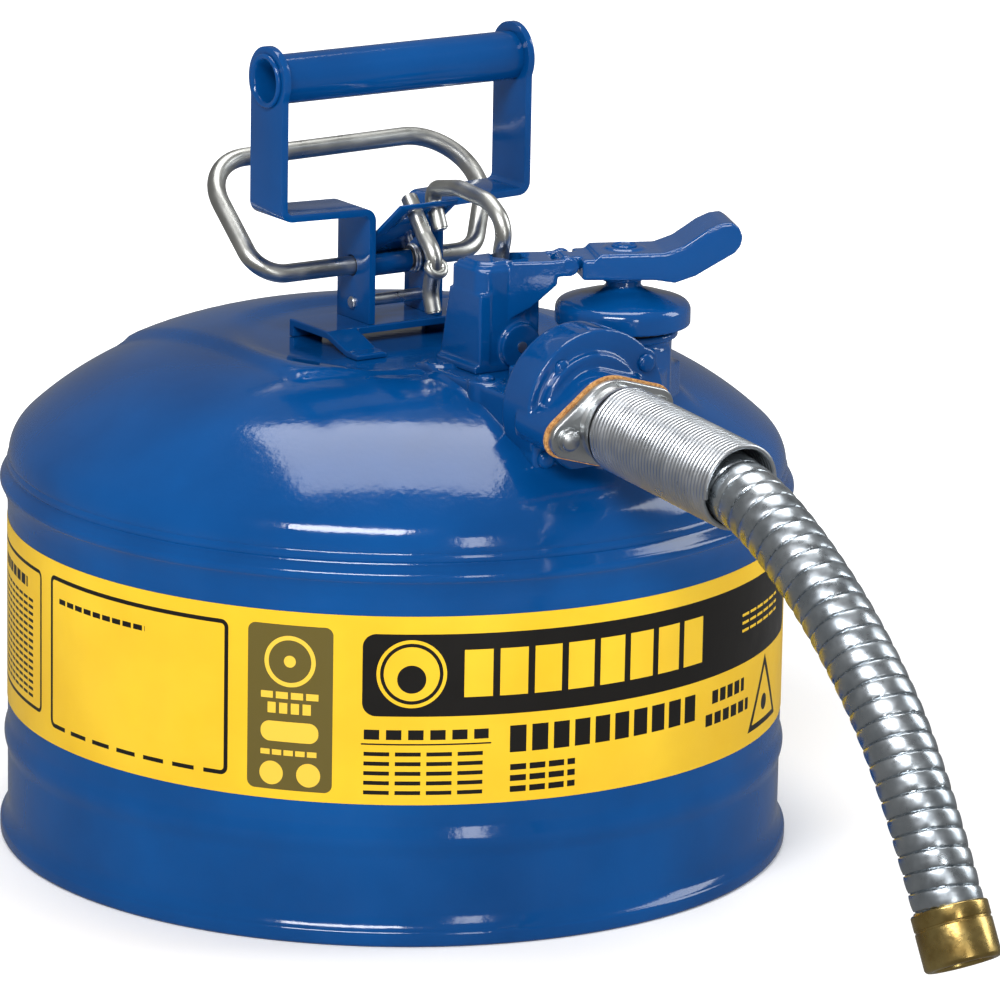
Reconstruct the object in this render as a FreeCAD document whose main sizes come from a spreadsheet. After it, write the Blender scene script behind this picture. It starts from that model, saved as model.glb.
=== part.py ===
"""Safety gas can: parametric model of every separate piece, in millimetres.

Frame: the origin is the centre of the can's base, +Z is up, the pour hose leaves
towards -Y and the carrying grip lies along X.
"""
import FreeCAD, Part
import math
import os
import re
import Sketcher

Vector = FreeCAD.Vector
Rotation = FreeCAD.Rotation
X_AXIS, Y_AXIS, Z_AXIS = Vector(1, 0, 0), Vector(0, 1, 0), Vector(0, 0, 1)

os.makedirs("parts", exist_ok=True)
doc = FreeCAD.newDocument("safety_can")
sheet = doc.addObject("Spreadsheet::Sheet", "dim")

DIMENSIONS = {
    # can body
    "wall_radius": 146.3, "sheet": 1.0, "body_top": 146.0, "bead_bulge": 2.9,
    "chime_height": 12.0, "ridge_height": 39.0, "ridge_half": 7.5, "ridge_bulge": 1.3,
    "seam_height": 139.0, "seam_half": 7.0, "pan_height": 8.0,
    "label_low": 53.0, "label_high": 123.0, "label_sheet": 0.2,
    "shoulder_radius": 16.0, "shoulder_turn": 47.0, "crown_radius": 125.0,
    # carrying handle
    "strap_wide": 22.2, "strap_thick": 2.7, "strap_outer": 55.0, "strap_centre": 7.0,
    "upright_outer": 16.3, "shelf_top": 243.4, "shelf_droop": 1.2,
    "ear_height": 292.2, "ear_radius": 12.7,
    "grip_radius": 9.2, "grip_bore": 7.7, "grip_rim": 10.2, "rim_thick": 1.3,
    "bridge_top": 198.2, "bridge_half": 36.0, "bridge_wide": 26.0,
    "tie_pin_radius": 2.3, "tie_pin_height": 204.6,
    # trigger
    "bar_away": 8.5, "bar_height": 218.5, "wire_radius": 3.5, "running_gap": 0.05,
    "loop_lean": 50.0, "loop_reach": 56.0, "roll_radius": 5.1,
    "plate_half": 12.5, "plate_slope": 38.0, "plate_reach": 38.8, "plate_thick": 1.6,
    # link hooks
    "hook_radius": 3.1, "hook_side": 6.5, "tail_side": -2.5,
    "hook_hole_away": -12.9, "hook_hole_height": 241.6,
    "hook_entry_away": -57.5, "hook_end_height": 226.5,
    # lever bracket (fixed arm) and lid lever
    "foot_low": 191.3, "arm_top": 233.5,
    "block_left": -11.8, "block_right": 14.0, "block_front": -72.0, "block_rear": -51.0,
    "block_low": 208.0, "lid_x": 45.0, "lid_y": -81.0, "lever_turn": -23.0,
    "hinge_back": 22.0, "hinge_height": 231.0, "hinge_pin_radius": 1.6,
    "lever_half": 11.5, "lug_x": 5.4, "lug_y": -74.0, "lug_height": 199.8, "lug_radius": 8.5,
    # lid and fill neck
    "neck_radius": 18.3, "neck_bore": 15.4, "neck_top": 206.0, "neck_low": 168.0,
    "lid_radius": 25.0, "lid_low": 207.8, "lid_rim": 5.6,
    # cast foot and air vent
    "foot_bottom": 176.0, "foot_top": 193.0, "vent_x": 56.0, "vent_y": -56.0, "vent_boss": 6.0,
    # pour port
    "port_away": -136.4, "port_height": 188.2, "port_tilt": 4.5,
    "drum_x": 5.0, "drum_radius": 30.0, "drum_front": -123.5, "drum_rear": -106.0,
    "port_bore": 10.5, "ear_reach": 19.5, "ear_lobe": 7.0, "ear_turn": 11.0,
    "port_round": 16.0, "gasket_thick": 1.6, "flange_thick": 3.0,
    # pour valve
    "rod_x": 6.5, "rod_y": -60.5, "rod_radius": 3.0, "rod_top": 226.0,
    "gallery_radius": 13.0, "gallery_height": 176.0, "seat_bore": 8.5, "disc_radius": 11.0,
    "seat_low": 160.0,
    # hose
    "hose_radius": 12.5, "hose_bore": 10.0, "ferrule_radius": 13.5, "ferrule_long": 20.0,
    "sleeve_radius": 16.0, "sleeve_wire": 1.9, "sleeve_start": 11.5, "sleeve_end": 84.0,
}
for row, (alias, size) in enumerate(DIMENSIONS.items(), start=1):
    sheet.set(f"A{row}", alias)
    sheet.set(f"B{row}", str(size))
    sheet.setAlias(f"B{row}", alias)
doc.recompute()


def number(formula):
    """The value of a formula in the sheet's own names."""
    sheet.set("D1", f"={formula}")
    sheet.recompute()
    return float(sheet.get("D1"))


def bound(formula):
    """The same formula as an object outside the sheet has to write it."""
    return re.sub(r"\b([a-z]+(?:_[a-z]+)*)\b(?!\s*\()", r"dim.\1", str(formula))


def place(thing, at, turn=None):
    """Put a primitive at a point given by three formulas, turned by a rotation."""
    thing.Placement = FreeCAD.Placement(Vector(), turn or Rotation())
    for axis, formula in zip("xyz", at):
        thing.setExpression(f"Placement.Base.{axis}", bound(formula))
    return thing


def primitive(kind, name, at, turn=None, **sizes):
    thing = doc.addObject(f"Part::{kind}", name)
    for size, formula in sizes.items():
        thing.setExpression(size, bound(formula))
    return place(thing, at, turn)


def rod(name, radius, length, at, turn=None):
    return primitive("Cylinder", name, at, turn, Radius=radius, Height=length)


def block(name, low, size, turn=None):
    return primitive("Box", name, low, turn, Length=size[0], Width=size[1], Height=size[2])


def fuse(name, *pieces):
    thing = doc.addObject("Part::MultiFuse", name)
    thing.Shapes = list(pieces)
    thing.Refine = True
    return thing


def cut(name, base, *tools):
    thing = doc.addObject("Part::Cut", name)
    thing.Base = base
    thing.Tool = tools[0] if len(tools) == 1 else fuse(f"{name}_tools", *tools)
    return thing


def shaped(name, shape):
    thing = doc.addObject("Part::Feature", name)
    thing.Shape = shape
    return thing


NODES = {}


def node(name, thing):
    """Name a finished piece: the label is the name of its file."""
    thing.Label = name
    NODES[name] = thing
    return thing


ALONG_X = Rotation(Y_AXIS, 90)        # a cylinder's +Z turned to +X
TOWARDS_FRONT = Rotation(X_AXIS, 90)  # a cylinder's +Z turned to -Y


# ---------------------------------------------------------------- sketches
def outline(body, name, plane, corners):
    """A closed sketch of straight edges through corners given as pairs of formulas."""
    sketch = body.newObject("Sketcher::SketchObject", name)
    origin = next(f for f in body.Origin.OriginFeatures if f.Role == plane)
    sketch.AttachmentSupport = [(origin, "")]
    sketch.MapMode = "FlatFace"
    points = [Vector(number(across), number(up), 0) for across, up in corners]
    for start, end in zip(points, points[1:] + points[:1]):
        sketch.addGeometry(Part.LineSegment(start, end), False)
    for i in range(len(points)):
        after = (i + 1) % len(points)
        sketch.addConstraint(Sketcher.Constraint("Coincident", i, 2, after, 1))
    for i, (corner, point) in enumerate(zip(corners, points)):
        for kind, formula, size, axis in (("DistanceX", corner[0], point.x, -2),
                                          ("DistanceY", corner[1], point.y, -1)):
            if abs(size) < 1e-9:
                sketch.addConstraint(Sketcher.Constraint("PointOnObject", i, 1, axis))
                continue
            index = sketch.addConstraint(Sketcher.Constraint(kind, -1, 1, i, 1, size))
            sketch.setExpression(f"Constraints[{index}]", bound(formula))
    return sketch


def turned(name, corners):
    """A body of revolution about Z from a profile of (radius, height) formulas."""
    body = doc.addObject("PartDesign::Body", name)
    sketch = outline(body, f"{name}_profile", "XZ_Plane", corners)
    turn = body.newObject("PartDesign::Revolution", f"{name}_turn")
    turn.Profile = sketch
    turn.ReferenceAxis = (sketch, ["V_Axis"])
    turn.Angle = 360
    return body


def padded(name, plane, corners, wide):
    """A body of even width, centred on the plane that its profile is drawn in."""
    body = doc.addObject("PartDesign::Body", name)
    sketch = outline(body, f"{name}_profile", plane, corners)
    pad = body.newObject("PartDesign::Pad", f"{name}_pad")
    pad.Profile = sketch
    pad.Midplane = True
    pad.setExpression("Length", bound(wide))
    return body


def ring(name, outer, inner, low, high, at=("0", "0"), turn=None):
    """A plain tube about a vertical line, from one height to another."""
    body = turned(name, [(inner, low), (outer, low), (outer, high), (inner, high)])
    return place(body, (at[0], at[1], "0"), turn)


# ---------------------------------------------------------------- bent wire and tube
def rounded_path(points, radii, closed=False):
    """Straight runs through points, joined by tangent arcs of the given radii."""
    count = len(points)
    corners = range(count) if closed else range(1, count - 1)
    entry, leave, edges = {}, {}, []
    for i in corners:
        back = (points[i - 1] - points[i]).normalize()
        ahead = (points[(i + 1) % count] - points[i]).normalize()
        half = math.pi / 2 - back.getAngle(ahead) / 2
        reach = radii[i] * math.tan(half)
        middle = (back + ahead).normalize() * (radii[i] / math.cos(half) - radii[i])
        entry[i], leave[i] = points[i] + back * reach, points[i] + ahead * reach
        edges.append((i, Part.Arc(entry[i], points[i] + middle, leave[i]).toShape()))
    for i in range(count if closed else count - 1):
        start, end = leave.get(i, points[i]), entry.get((i + 1) % count, points[(i + 1) % count])
        if (end - start).Length > 1e-6:
            edges.append((i + 0.5, Part.LineSegment(start, end).toShape()))
    return Part.Wire([edge for _, edge in sorted(edges, key=lambda item: item[0])])


def wire_along(path, radius):
    """A solid round wire along a path that starts with its first edge."""
    first = path.OrderedEdges[0]
    start, heading = first.valueAt(first.FirstParameter), first.tangentAt(first.FirstParameter)
    loop = Part.Wire([Part.makeCircle(radius, start, heading)])
    return path.makePipeShell([loop], True, False)


# ---------------------------------------------------------------- can body
def make_can_body():
    inner = "wall_radius - sheet"
    shell = turned("body_shell", [
        (inner, "0"), ("wall_radius + bead_bulge * 0.35", "0"),
        ("wall_radius + bead_bulge * 0.9", "chime_height * 0.12"),
        ("wall_radius + bead_bulge", "chime_height * 0.33"),
        ("wall_radius + bead_bulge * 0.8", "chime_height * 0.7"),
        ("wall_radius", "chime_height"),
        ("wall_radius", "ridge_height - ridge_half"),
        ("wall_radius + ridge_bulge * 0.7", "ridge_height - ridge_half * 0.5"),
        ("wall_radius + ridge_bulge", "ridge_height"),
        ("wall_radius + ridge_bulge * 0.7", "ridge_height + ridge_half * 0.5"),
        ("wall_radius", "ridge_height + ridge_half"),
        ("wall_radius", "seam_height - seam_half - 2"),
        ("wall_radius + bead_bulge * 0.8", "seam_height - seam_half * 0.6"),
        ("wall_radius + bead_bulge", "seam_height"),
        ("wall_radius + bead_bulge * 0.8", "seam_height + seam_half * 0.6"),
        ("wall_radius - 0.3", "body_top"), (inner, "body_top")])
    node("body_shell", shell)

    rim = "wall_radius - sheet * 2"
    pan = turned("bottom_pan", [
        ("0", "pan_height"), (rim, "pan_height"), (rim, "1"), (inner, "1"),
        (inner, "pan_height + sheet"), ("0", "pan_height + sheet")])
    node("bottom_pan", pan)

    band = ring("label_band", "wall_radius + label_sheet", "wall_radius", "label_low", "label_high")
    node("label_band", band)


def dome_corners(skin):
    """Half the dome's section, a given depth under its outer face: shoulder, crown, flat."""
    turn = number("shoulder_turn")
    shoulder = "(wall_radius - 0.3 - shoulder_radius)"
    corners = []
    for angle in (0, turn * 0.2, turn * 0.4, turn * 0.6, turn * 0.8, turn):
        across, up = math.cos(math.radians(angle)), math.sin(math.radians(angle))
        corners.append((f"{shoulder} + (shoulder_radius - {skin}) * {across:.6f}",
                        f"body_top + (shoulder_radius - {skin}) * {up:.6f}"))
    across, up = math.cos(math.radians(turn)), math.sin(math.radians(turn))
    centre = (f"({shoulder} - (crown_radius - shoulder_radius) * {across:.6f})",
              f"(body_top - (crown_radius - shoulder_radius) * {up:.6f})")
    for angle in (turn + 7, turn + 14, turn + 21, turn + 28, turn + 35.5, 90):
        across, up = math.cos(math.radians(angle)), math.sin(math.radians(angle))
        corners.append((f"{centre[0]} + (crown_radius - {skin}) * {across:.6f}",
                        f"{centre[1]} + (crown_radius - {skin}) * {up:.6f}"))
    corners.append(("0", corners[-1][1]))
    return corners


def foot_outline(grow):
    """The cast foot's plan, as (x, y) formulas, grown outwards."""
    return [(f"-22 - {grow}", f"-44 + {grow}"), (f"-22 - {grow}", f"drum_rear - 2 - {grow}"),
            (f"40 + {grow}", f"drum_rear - 2 - {grow}"), (f"66 + {grow}", f"lid_y - 8 - {grow}"),
            (f"66 + {grow}", f"-58 + {grow}"), (f"54 + {grow}", f"-44 + {grow}")]


def foot_prism(name, grow, low, high):
    body = doc.addObject("PartDesign::Body", name)
    sketch = outline(body, f"{name}_plan", "XY_Plane", foot_outline(grow))
    pad = body.newObject("PartDesign::Pad", f"{name}_pad")
    pad.Profile = sketch
    pad.setExpression("Length", bound(f"{high} - ({low})"))
    return place(body, ("0", "0", low))


def make_dome():
    shell = turned("dome_shell", dome_corners("0") + dome_corners("sheet")[::-1])
    opening = foot_prism("dome_opening", "0.2", "150", "210")
    drum = rod("dome_drum_slot", "drum_radius + 0.3", "drum_rear - drum_front + 3.4",
               ("drum_x", "drum_rear + 0.3", "port_height"), TOWARDS_FRONT)
    neck = rod("dome_neck_slot", "neck_radius + 0.3", "60", ("lid_x", "lid_y", "150"))
    vent = rod("dome_vent_slot", "vent_boss + 0.3", "60", ("vent_x", "vent_y", "150"))
    port = shaped("dome_port_slot", ear_plate(20.5, -20.0, 0.3))
    node("top_dome", cut("top_dome", shell, opening, drum, neck, vent, port))


# ---------------------------------------------------------------- carrying handle
def make_strap(name, side):
    """One bent half of the handle: ear, upright leg, shelf, and upright to the bridge."""
    edge = f"{side} * "
    upright_in = "(upright_outer - strap_thick)"
    leg_in = "(strap_outer - strap_thick)"
    corners = [
        (f"{edge}{leg_in}", "ear_height"), (f"{edge}strap_outer", "ear_height"),
        (f"{edge}strap_outer", "shelf_top - strap_thick"),
        (f"{edge}upright_outer", "shelf_top - strap_thick - shelf_droop"),
        (f"{edge}upright_outer", "bridge_top"), (f"{edge}{upright_in}", "bridge_top"),
        (f"{edge}{upright_in}", "shelf_top - shelf_droop"), (f"{edge}{leg_in}", "shelf_top")]
    body = padded(f"{name}_bent", "XZ_Plane", corners, "strap_wide")
    place(body, ("0", "strap_centre", "0"))
    start = "-strap_outer" if side < 0 else "strap_outer - strap_thick"
    ear = rod(f"{name}_ear", "ear_radius", "strap_thick", (start, "strap_centre", "ear_height"), ALONG_X)
    grip_hole = rod(f"{name}_grip_hole", "grip_radius", "strap_outer * 3",
                    ("-strap_outer * 1.5", "strap_centre", "ear_height"), ALONG_X)
    bar_hole = rod(f"{name}_bar_hole", "wire_radius + running_gap", "strap_outer * 3",
                   ("-strap_outer * 1.5", "bar_away", "bar_height"), ALONG_X)
    pin_hole = rod(f"{name}_pin_hole", "tie_pin_radius", "strap_outer * 3",
                   ("-strap_outer * 1.5", "strap_centre", "tie_pin_height"), ALONG_X)
    solid = fuse(f"{name}_solid", body, ear)
    strap = cut(f"{name}_drilled", solid, grip_hole, bar_hole, pin_hole)
    node(name, strap)


def make_handle():
    make_strap("handle_strap_left", -1)
    make_strap("handle_strap_right", 1)

    grip = rod("grip_barrel", "grip_radius", "strap_outer * 2",
               ("-strap_outer", "strap_centre", "ear_height"), ALONG_X)
    rims = [rod(f"grip_rim_{side}", "grip_rim", "rim_thick", (start, "strap_centre", "ear_height"), ALONG_X)
            for side, start in (("left", "-strap_outer - rim_thick"), ("right", "strap_outer"))]
    bore = rod("grip_bore_tool", "grip_bore", "strap_outer * 3",
               ("-strap_outer * 1.5", "strap_centre", "ear_height"), ALONG_X)
    node("grip_tube", cut("grip_hollow", fuse("grip_solid", grip, *rims), bore))

    pin = rod("tie_pin_rod", "tie_pin_radius", "(upright_outer + 1.2) * 2",
              ("-upright_outer - 1.2", "strap_centre", "tie_pin_height"), ALONG_X)
    node("upright_tie_pin", pin)

    # The bridge is a stamped plate on two folded feet, with a sloping flange in front.
    plate = block("bridge_plate",
                  ("-bridge_half", "strap_centre - bridge_wide / 2", "bridge_top - strap_thick"),
                  ("bridge_half * 2", "bridge_wide", "strap_thick"))
    feet = []
    edge = "strap_centre - bridge_wide / 2"
    for side in (-1, 1):
        foot = padded(f"bridge_foot_{'left' if side < 0 else 'right'}", "YZ_Plane", [
            (edge, "bridge_top"), (f"{edge} - 16", "foot_low + 1.5"),
            (f"{edge} - 21", "foot_low + 1.5"), (f"{edge} - 21", "foot_low"),
            (f"{edge} - 14", "foot_low"), (f"{edge} + 1", "bridge_top - strap_thick")], "13")
        place(foot, (f"{side} * (bridge_half - 6.5)", "0", "0"))
        rear = block(f"bridge_rear_{'left' if side < 0 else 'right'}",
                     (f"{side} * (bridge_half - 6.5) - 6.5",
                      "strap_centre + bridge_wide / 2 - strap_thick", "foot_low"),
                     ("13", "strap_thick", "bridge_top - foot_low"))
        feet += [foot, rear]
    node("handle_bridge", fuse("handle_bridge_solid", plate, *feet))


# ---------------------------------------------------------------- trigger and links
def make_trigger():
    lean = math.radians(number("loop_lean"))
    along = Vector(0, math.sin(lean), math.cos(lean))
    pivot = Vector(0, number("bar_away"), number("bar_height"))
    reach = number("loop_reach")
    corners = [pivot + X_AXIS * across + along * up for across, up in (
        (-10, 0), (-56.5, 0), (-57, reach - 1), (56.5, reach + 1), (56, 27), (38.5, 0), (10, 0))]
    path = rounded_path(corners, [0, 12, 20, 22, 16, 15, 0])
    closing = Part.makeCylinder(number("wire_radius"), 20, corners[0], X_AXIS)
    loop = wire_along(path, number("wire_radius")).fuse(closing).removeSplitter()
    node("trigger_loop", shaped("trigger_loop", loop))

    # The plate is rolled round the bar and reaches up and forwards from it. The spring sits in its notch.
    rolled = rod("plate_roll", "roll_radius", "plate_half + 8",
                 ("-plate_half", "bar_away", "bar_height"), ALONG_X)
    slope = Rotation(X_AXIS, -number("plate_slope"))
    flat = doc.addObject("Part::Box", "plate_flat")
    for size, formula in (("Length", "plate_half * 2"), ("Width", "plate_reach"),
                          ("Height", "plate_thick")):
        flat.setExpression(size, bound(formula))
    up = slope.multVec(Vector(0, -number("plate_reach"), number("roll_radius - plate_thick")))
    place(flat, ("-plate_half", f"bar_away + {up.y:.5f}", f"bar_height + {up.z:.5f}"), slope)
    bar_hole = rod("plate_bar_hole", "wire_radius", "60", ("-30", "bar_away", "bar_height"), ALONG_X)
    notch = block("plate_notch", ("8", "bar_away - 6", "bar_height - 7"), ("8", "13", "21"))
    hooks = [block(f"plate_{side}_hole",
                   (f"{side} - hook_radius - 0.4", "hook_hole_away - 4.5", "hook_hole_height - 8"),
                   ("hook_radius * 2 + 0.8", "9.0", "16")) for side in ("hook_side", "tail_side")]
    solid = fuse("plate_solid", rolled, flat)
    node("trigger_plate", cut("trigger_plate_solid", solid, bar_hole, notch, *hooks))

    spring = rod("spring_coil", "5.4", "4.6", ("8.5", "bar_away", "bar_height"), ALONG_X)
    core = rod("spring_core", "3.9", "20", ("5", "bar_away", "bar_height"), ALONG_X)
    node("trigger_spring", cut("trigger_spring_solid", spring, core))


def make_hooks():
    """Two bent wires that pass through the trigger plate: a push hook and a tail hook."""
    radius = number("hook_radius")
    away, height = number("hook_hole_away"), number("hook_hole_height")
    entry, end = number("hook_entry_away"), number("hook_end_height")
    side = number("hook_side")
    push = [Vector(side, away - 3.9, height - 7.3), Vector(side, away + 3.3, height + 7.2),
            Vector(side, away - 16, height + 10.9), Vector(side, away - 36, height + 9.5),
            Vector(side, entry - 3, height + 2.5), Vector(side, entry, end + 8), Vector(side, entry, end)]
    node("push_hook", shaped("push_hook", wire_along(rounded_path(push, [0, 4.5, 16, 14, 9, 8, 0]), radius)))
    side = number("tail_side")
    tail = [Vector(side, away + 4.2, height + 4.9), Vector(side, away - 7.2, height - 8.2),
            Vector(side, away - 15.5, height - 15), Vector(side, away - 12.6, height - 23),
            Vector(side, away - 11.5, height - 29), Vector(side, away - 14, height - 36)]
    node("tail_hook", shaped("tail_hook", wire_along(rounded_path(tail, [0, 8, 9, 12, 10, 0]), radius)))


# ---------------------------------------------------------------- manifold and pour port
def port_turn():
    return Rotation(X_AXIS, 90 + number("port_tilt"))


def port_point(along, across=0.0, up=0.0):
    """A point in the port's own frame: along the outlet, across it and up."""
    base = Vector(0, number("port_away"), number("port_height"))
    return base + port_turn().multVec(Vector(across, up, along))


def ear_plate(thickness, along, grow=0.0):
    """A round plate with two lobed ears, the lobes on a line that is turned a little."""
    big, lobe = number("port_round") + grow, number("ear_lobe") + grow
    reach = number("ear_reach")
    slant = math.acos((big - lobe) / reach)
    plate = Part.makeCylinder(big, thickness)
    for side in (1, -1):
        lobe_centre = Vector(side * reach, 0, 0)
        plate = plate.fuse(Part.makeCylinder(lobe, thickness, lobe_centre))
        across, up = math.cos(slant) * side, math.sin(slant)
        web = [Vector(across * big, up * big, 0), lobe_centre + Vector(across * lobe, up * lobe, 0),
               lobe_centre + Vector(across * lobe, -up * lobe, 0), Vector(across * big, -up * big, 0)]
        plate = plate.fuse(Part.Face(Part.makePolygon(web + web[:1])).extrude(Vector(0, 0, thickness)))
    plate = plate.removeSplitter()
    turn = port_turn().multiply(Rotation(Z_AXIS, number("ear_turn")))
    plate.Placement = FreeCAD.Placement(port_point(along), turn)
    return plate


def ear_holes(radius, low, high):
    """Two drills through the ears."""
    turn = Rotation(Z_AXIS, number("ear_turn"))
    drills = []
    for side in (1, -1):
        spot = turn.multVec(Vector(side * number("ear_reach"), 0, 0))
        drills.append(Part.makeCylinder(radius, high - low, port_point(low, spot.x, spot.y),
                                        port_turn().multVec(Z_AXIS)))
    return drills


def port_cylinder(radius, low, high):
    return Part.makeCylinder(radius, high - low, port_point(low), port_turn().multVec(Z_AXIS))


# Screws down through the foot, as (x, y), and screws in the drum's face, as (x, z).
FOOT_SCREWS = (("-17", "-84"), ("60", "-64"), ("20", "-100"), ("36", "-49"))
DRUM_SCREWS = (("-10.5", "205.5"), ("26", "203.5"), ("-17", "173"))


def make_manifold():
    foot = foot_prism("manifold_foot", "0", "foot_bottom", "foot_top")
    lid = ("lid_x", "lid_y")
    neck = rod("neck_outer", "neck_radius", "neck_top - neck_low", (*lid, "neck_low"))
    lip = rod("neck_lip", "neck_radius + 2.2", "2.5", (*lid, "neck_top - 2.5"))
    drum = rod("drum", "drum_radius", "drum_rear - drum_front",
               ("drum_x", "drum_rear", "port_height"), TOWARDS_FRONT)
    boss = shaped("port_boss", ear_plate(20.0, -20.0))
    gallery = rod("gallery", "gallery_radius", "62", ("3", "-46", "gallery_height"), TOWARDS_FRONT)
    seat = rod("valve_seat", "gallery_radius", "gallery_height - seat_low", ("rod_x", "rod_y", "seat_low"))
    vent_boss = rod("vent_boss_solid", "vent_boss", "14", ("vent_x", "vent_y", "166"))
    casting = fuse("manifold_casting", foot, neck, lip, drum, boss, gallery, seat, vent_boss)
    neck_hole = rod("neck_hole", "neck_bore", "60", (*lid, "neck_low - 5"))
    port_hole = shaped("port_hole", port_cylinder(number("port_bore"), -34, 2))
    gallery_hole = rod("gallery_hole", "gallery_radius - 3", "62",
                       ("3", "-50", "gallery_height"), TOWARDS_FRONT)
    seat_hole = rod("seat_hole", "seat_bore", "20", ("rod_x", "rod_y", "seat_low - 1"))
    guide = rod("rod_guide", "rod_radius + running_gap", "30", ("rod_x", "rod_y", "180"))
    screws = [shaped(f"ear_thread_{i}", drill) for i, drill in enumerate(ear_holes(2.0, -12, 1))]
    vent_hole = rod("vent_hole", "2", "40", ("vent_x", "vent_y", "160"))
    foot_threads = [rod(f"foot_thread_{i}", "1.9", "20", (x, y, "176"))
                    for i, (x, y) in enumerate(FOOT_SCREWS)]
    drum_threads = [rod(f"drum_thread_{i}", "1.9", "14", (x, "drum_front + 12", z), TOWARDS_FRONT)
                    for i, (x, z) in enumerate(DRUM_SCREWS)]
    node("manifold_body", cut("manifold_body", casting, neck_hole, port_hole, gallery_hole, seat_hole,
                              guide, vent_hole, *screws, *foot_threads, *drum_threads))

    vent = ring("vent_tube", "vent_boss", "4", "70", "166", ("vent_x", "vent_y"))
    node("vent_tube", vent)

    screen = turned("fill_screen", [
        ("0", "112"), ("neck_bore - 0.6", "112"), ("neck_bore - 0.6", "neck_top - 6"),
        ("neck_bore", "neck_top - 6"), ("neck_bore", "neck_top - 4.5"),
        ("neck_bore - 1.4", "neck_top - 4.5"), ("neck_bore - 1.4", "113"), ("0", "113")])
    node("fill_screen", place(screen, ("lid_x", "lid_y", "0")))

    thimble = port_cylinder(number("port_bore"), -26, 0).cut(port_cylinder(number("port_bore") - 0.8, -25, 1))
    node("pour_screen", shaped("pour_screen", thimble))

    heads = []
    for i, (x, y) in enumerate(FOOT_SCREWS):
        shank = rod(f"foot_screw_shank_{i}", "1.9", "14", (x, y, "180"))
        head = rod(f"foot_screw_head_{i}", "3.8", "2.6", (x, y, "193"))
        heads.append(fuse(f"foot_screw_{i}", shank, head))
    for i, (x, z) in enumerate(DRUM_SCREWS):
        shank = rod(f"drum_screw_shank_{i}", "1.9", "12", (x, "drum_front + 11", z), TOWARDS_FRONT)
        head = rod(f"drum_screw_head_{i}", "3.4", "2.4", (x, "drum_front", z), TOWARDS_FRONT)
        heads.append(fuse(f"drum_screw_{i}", shank, head))
    group = doc.addObject("Part::Compound", "manifold_screws")
    group.Links = heads
    node("manifold_screws", group)


def make_port_parts():
    bore = number("port_bore")
    thick, plate = number("gasket_thick"), number("flange_thick")
    gasket = ear_plate(thick, 0.0, 0.8).cut(port_cylinder(bore, -1, thick + 1))
    for drill in ear_holes(2.2, -1, thick + 1):
        gasket = gasket.cut(drill)
    node("port_gasket", shaped("port_gasket", gasket))

    top = thick + plate
    start = number("sleeve_start")
    flange = ear_plate(plate, thick)
    collar = Part.makeCone(number("port_round") - 3.0, number("sleeve_radius") - 0.1, start - top)
    collar.Placement = FreeCAD.Placement(port_point(top), port_turn())
    flange = flange.fuse(collar).removeSplitter().cut(port_cylinder(bore, 0, start + 1))
    for drill in ear_holes(2.2, 0, top + 1):
        flange = flange.cut(drill)
    node("hose_flange", shaped("hose_flange", flange))
    spud = port_cylinder(number("hose_radius"), start, HOSE_START).cut(
        port_cylinder(number("hose_bore"), start - 1, HOSE_START + 1))
    node("hose_spud", shaped("hose_spud", spud))

    washers, screws = [], []
    for washer, hole, shank, head in zip(
            ear_holes(4.6, top, top + 1), ear_holes(2.2, top - 1, top + 2),
            ear_holes(2.0, -10, top + 1), ear_holes(3.7, top + 1, top + 3.8)):
        washers.append(washer.cut(hole))
        screws.append(shank.fuse(head).removeSplitter())
    node("lock_washers", shaped("lock_washers", Part.makeCompound(washers)))
    node("flange_screws", shaped("flange_screws", Part.makeCompound(screws)))

    sleeve = port_cylinder(number("sleeve_radius"), start, number("sleeve_end"))
    bore = port_cylinder(number("sleeve_radius - sleeve_wire"), start - 1, number("sleeve_end") + 1)
    sleeve = sleeve.cut(bore)
    node("spring_sleeve", shaped("spring_sleeve", sleeve))


# The hose hangs in the plane X = 0: (distance towards the front, height).
HOSE_START = 50.6
HOSE_ROUTE = ((214.4, 182.1), (244.0, 172.0), (285.0, 145.0), (322.0, 106.5), (344.9, 63.7))


def make_hose():
    points = [port_point(HOSE_START)] + [Vector(0, -front, height) for front, height in HOSE_ROUTE]
    runs = [(b - a).Length for a, b in zip(points, points[1:])]
    radii = [0.0] * len(points)
    for i in range(1, len(points) - 1):
        turn = math.pi - (points[i - 1] - points[i]).getAngle(points[i + 1] - points[i])
        radii[i] = 0.45 * min(runs[i - 1], runs[i]) / math.tan(turn / 2)
    print("hose runs", [round(run, 1) for run in runs], "radii", [round(radius, 1) for radius in radii[1:-1]])
    path = rounded_path(points, radii)
    outer, bore = number("hose_radius"), number("hose_bore")
    hose = wire_along(path, outer).cut(wire_along(path, bore))
    section = math.pi * (outer ** 2 - bore ** 2)
    print("hose length", round(path.Length, 1), "volume over section x length",
          round(hose.Volume / (section * path.Length), 4))
    node("pour_hose", shaped("pour_hose", hose))

    heading = (points[-1] - points[-2]).normalize()
    long = number("ferrule_long")
    ferrule = Part.makeCylinder(number("ferrule_radius"), long, points[-1], heading)
    ferrule = ferrule.cut(Part.makeCylinder(number("hose_bore"), long + 2, points[-1] - heading, heading))
    node("hose_ferrule", shaped("hose_ferrule", ferrule))
    tip = points[-1] + heading * long
    print("ferrule tip", [round(value, 2) for value in tip],
          "heading", [round(value, 4) for value in heading])


# ---------------------------------------------------------------- lever bracket and lid
def lid_turn():
    return Rotation(Z_AXIS, number("lever_turn"))


def at_lid(along, across, height):
    """A point on the lever's slanting line, measured from the lid's centre."""
    spot = lid_turn().multVec(Vector(along, across, 0))
    return Vector(number("lid_x") + spot.x, number("lid_y") + spot.y, height)


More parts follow.
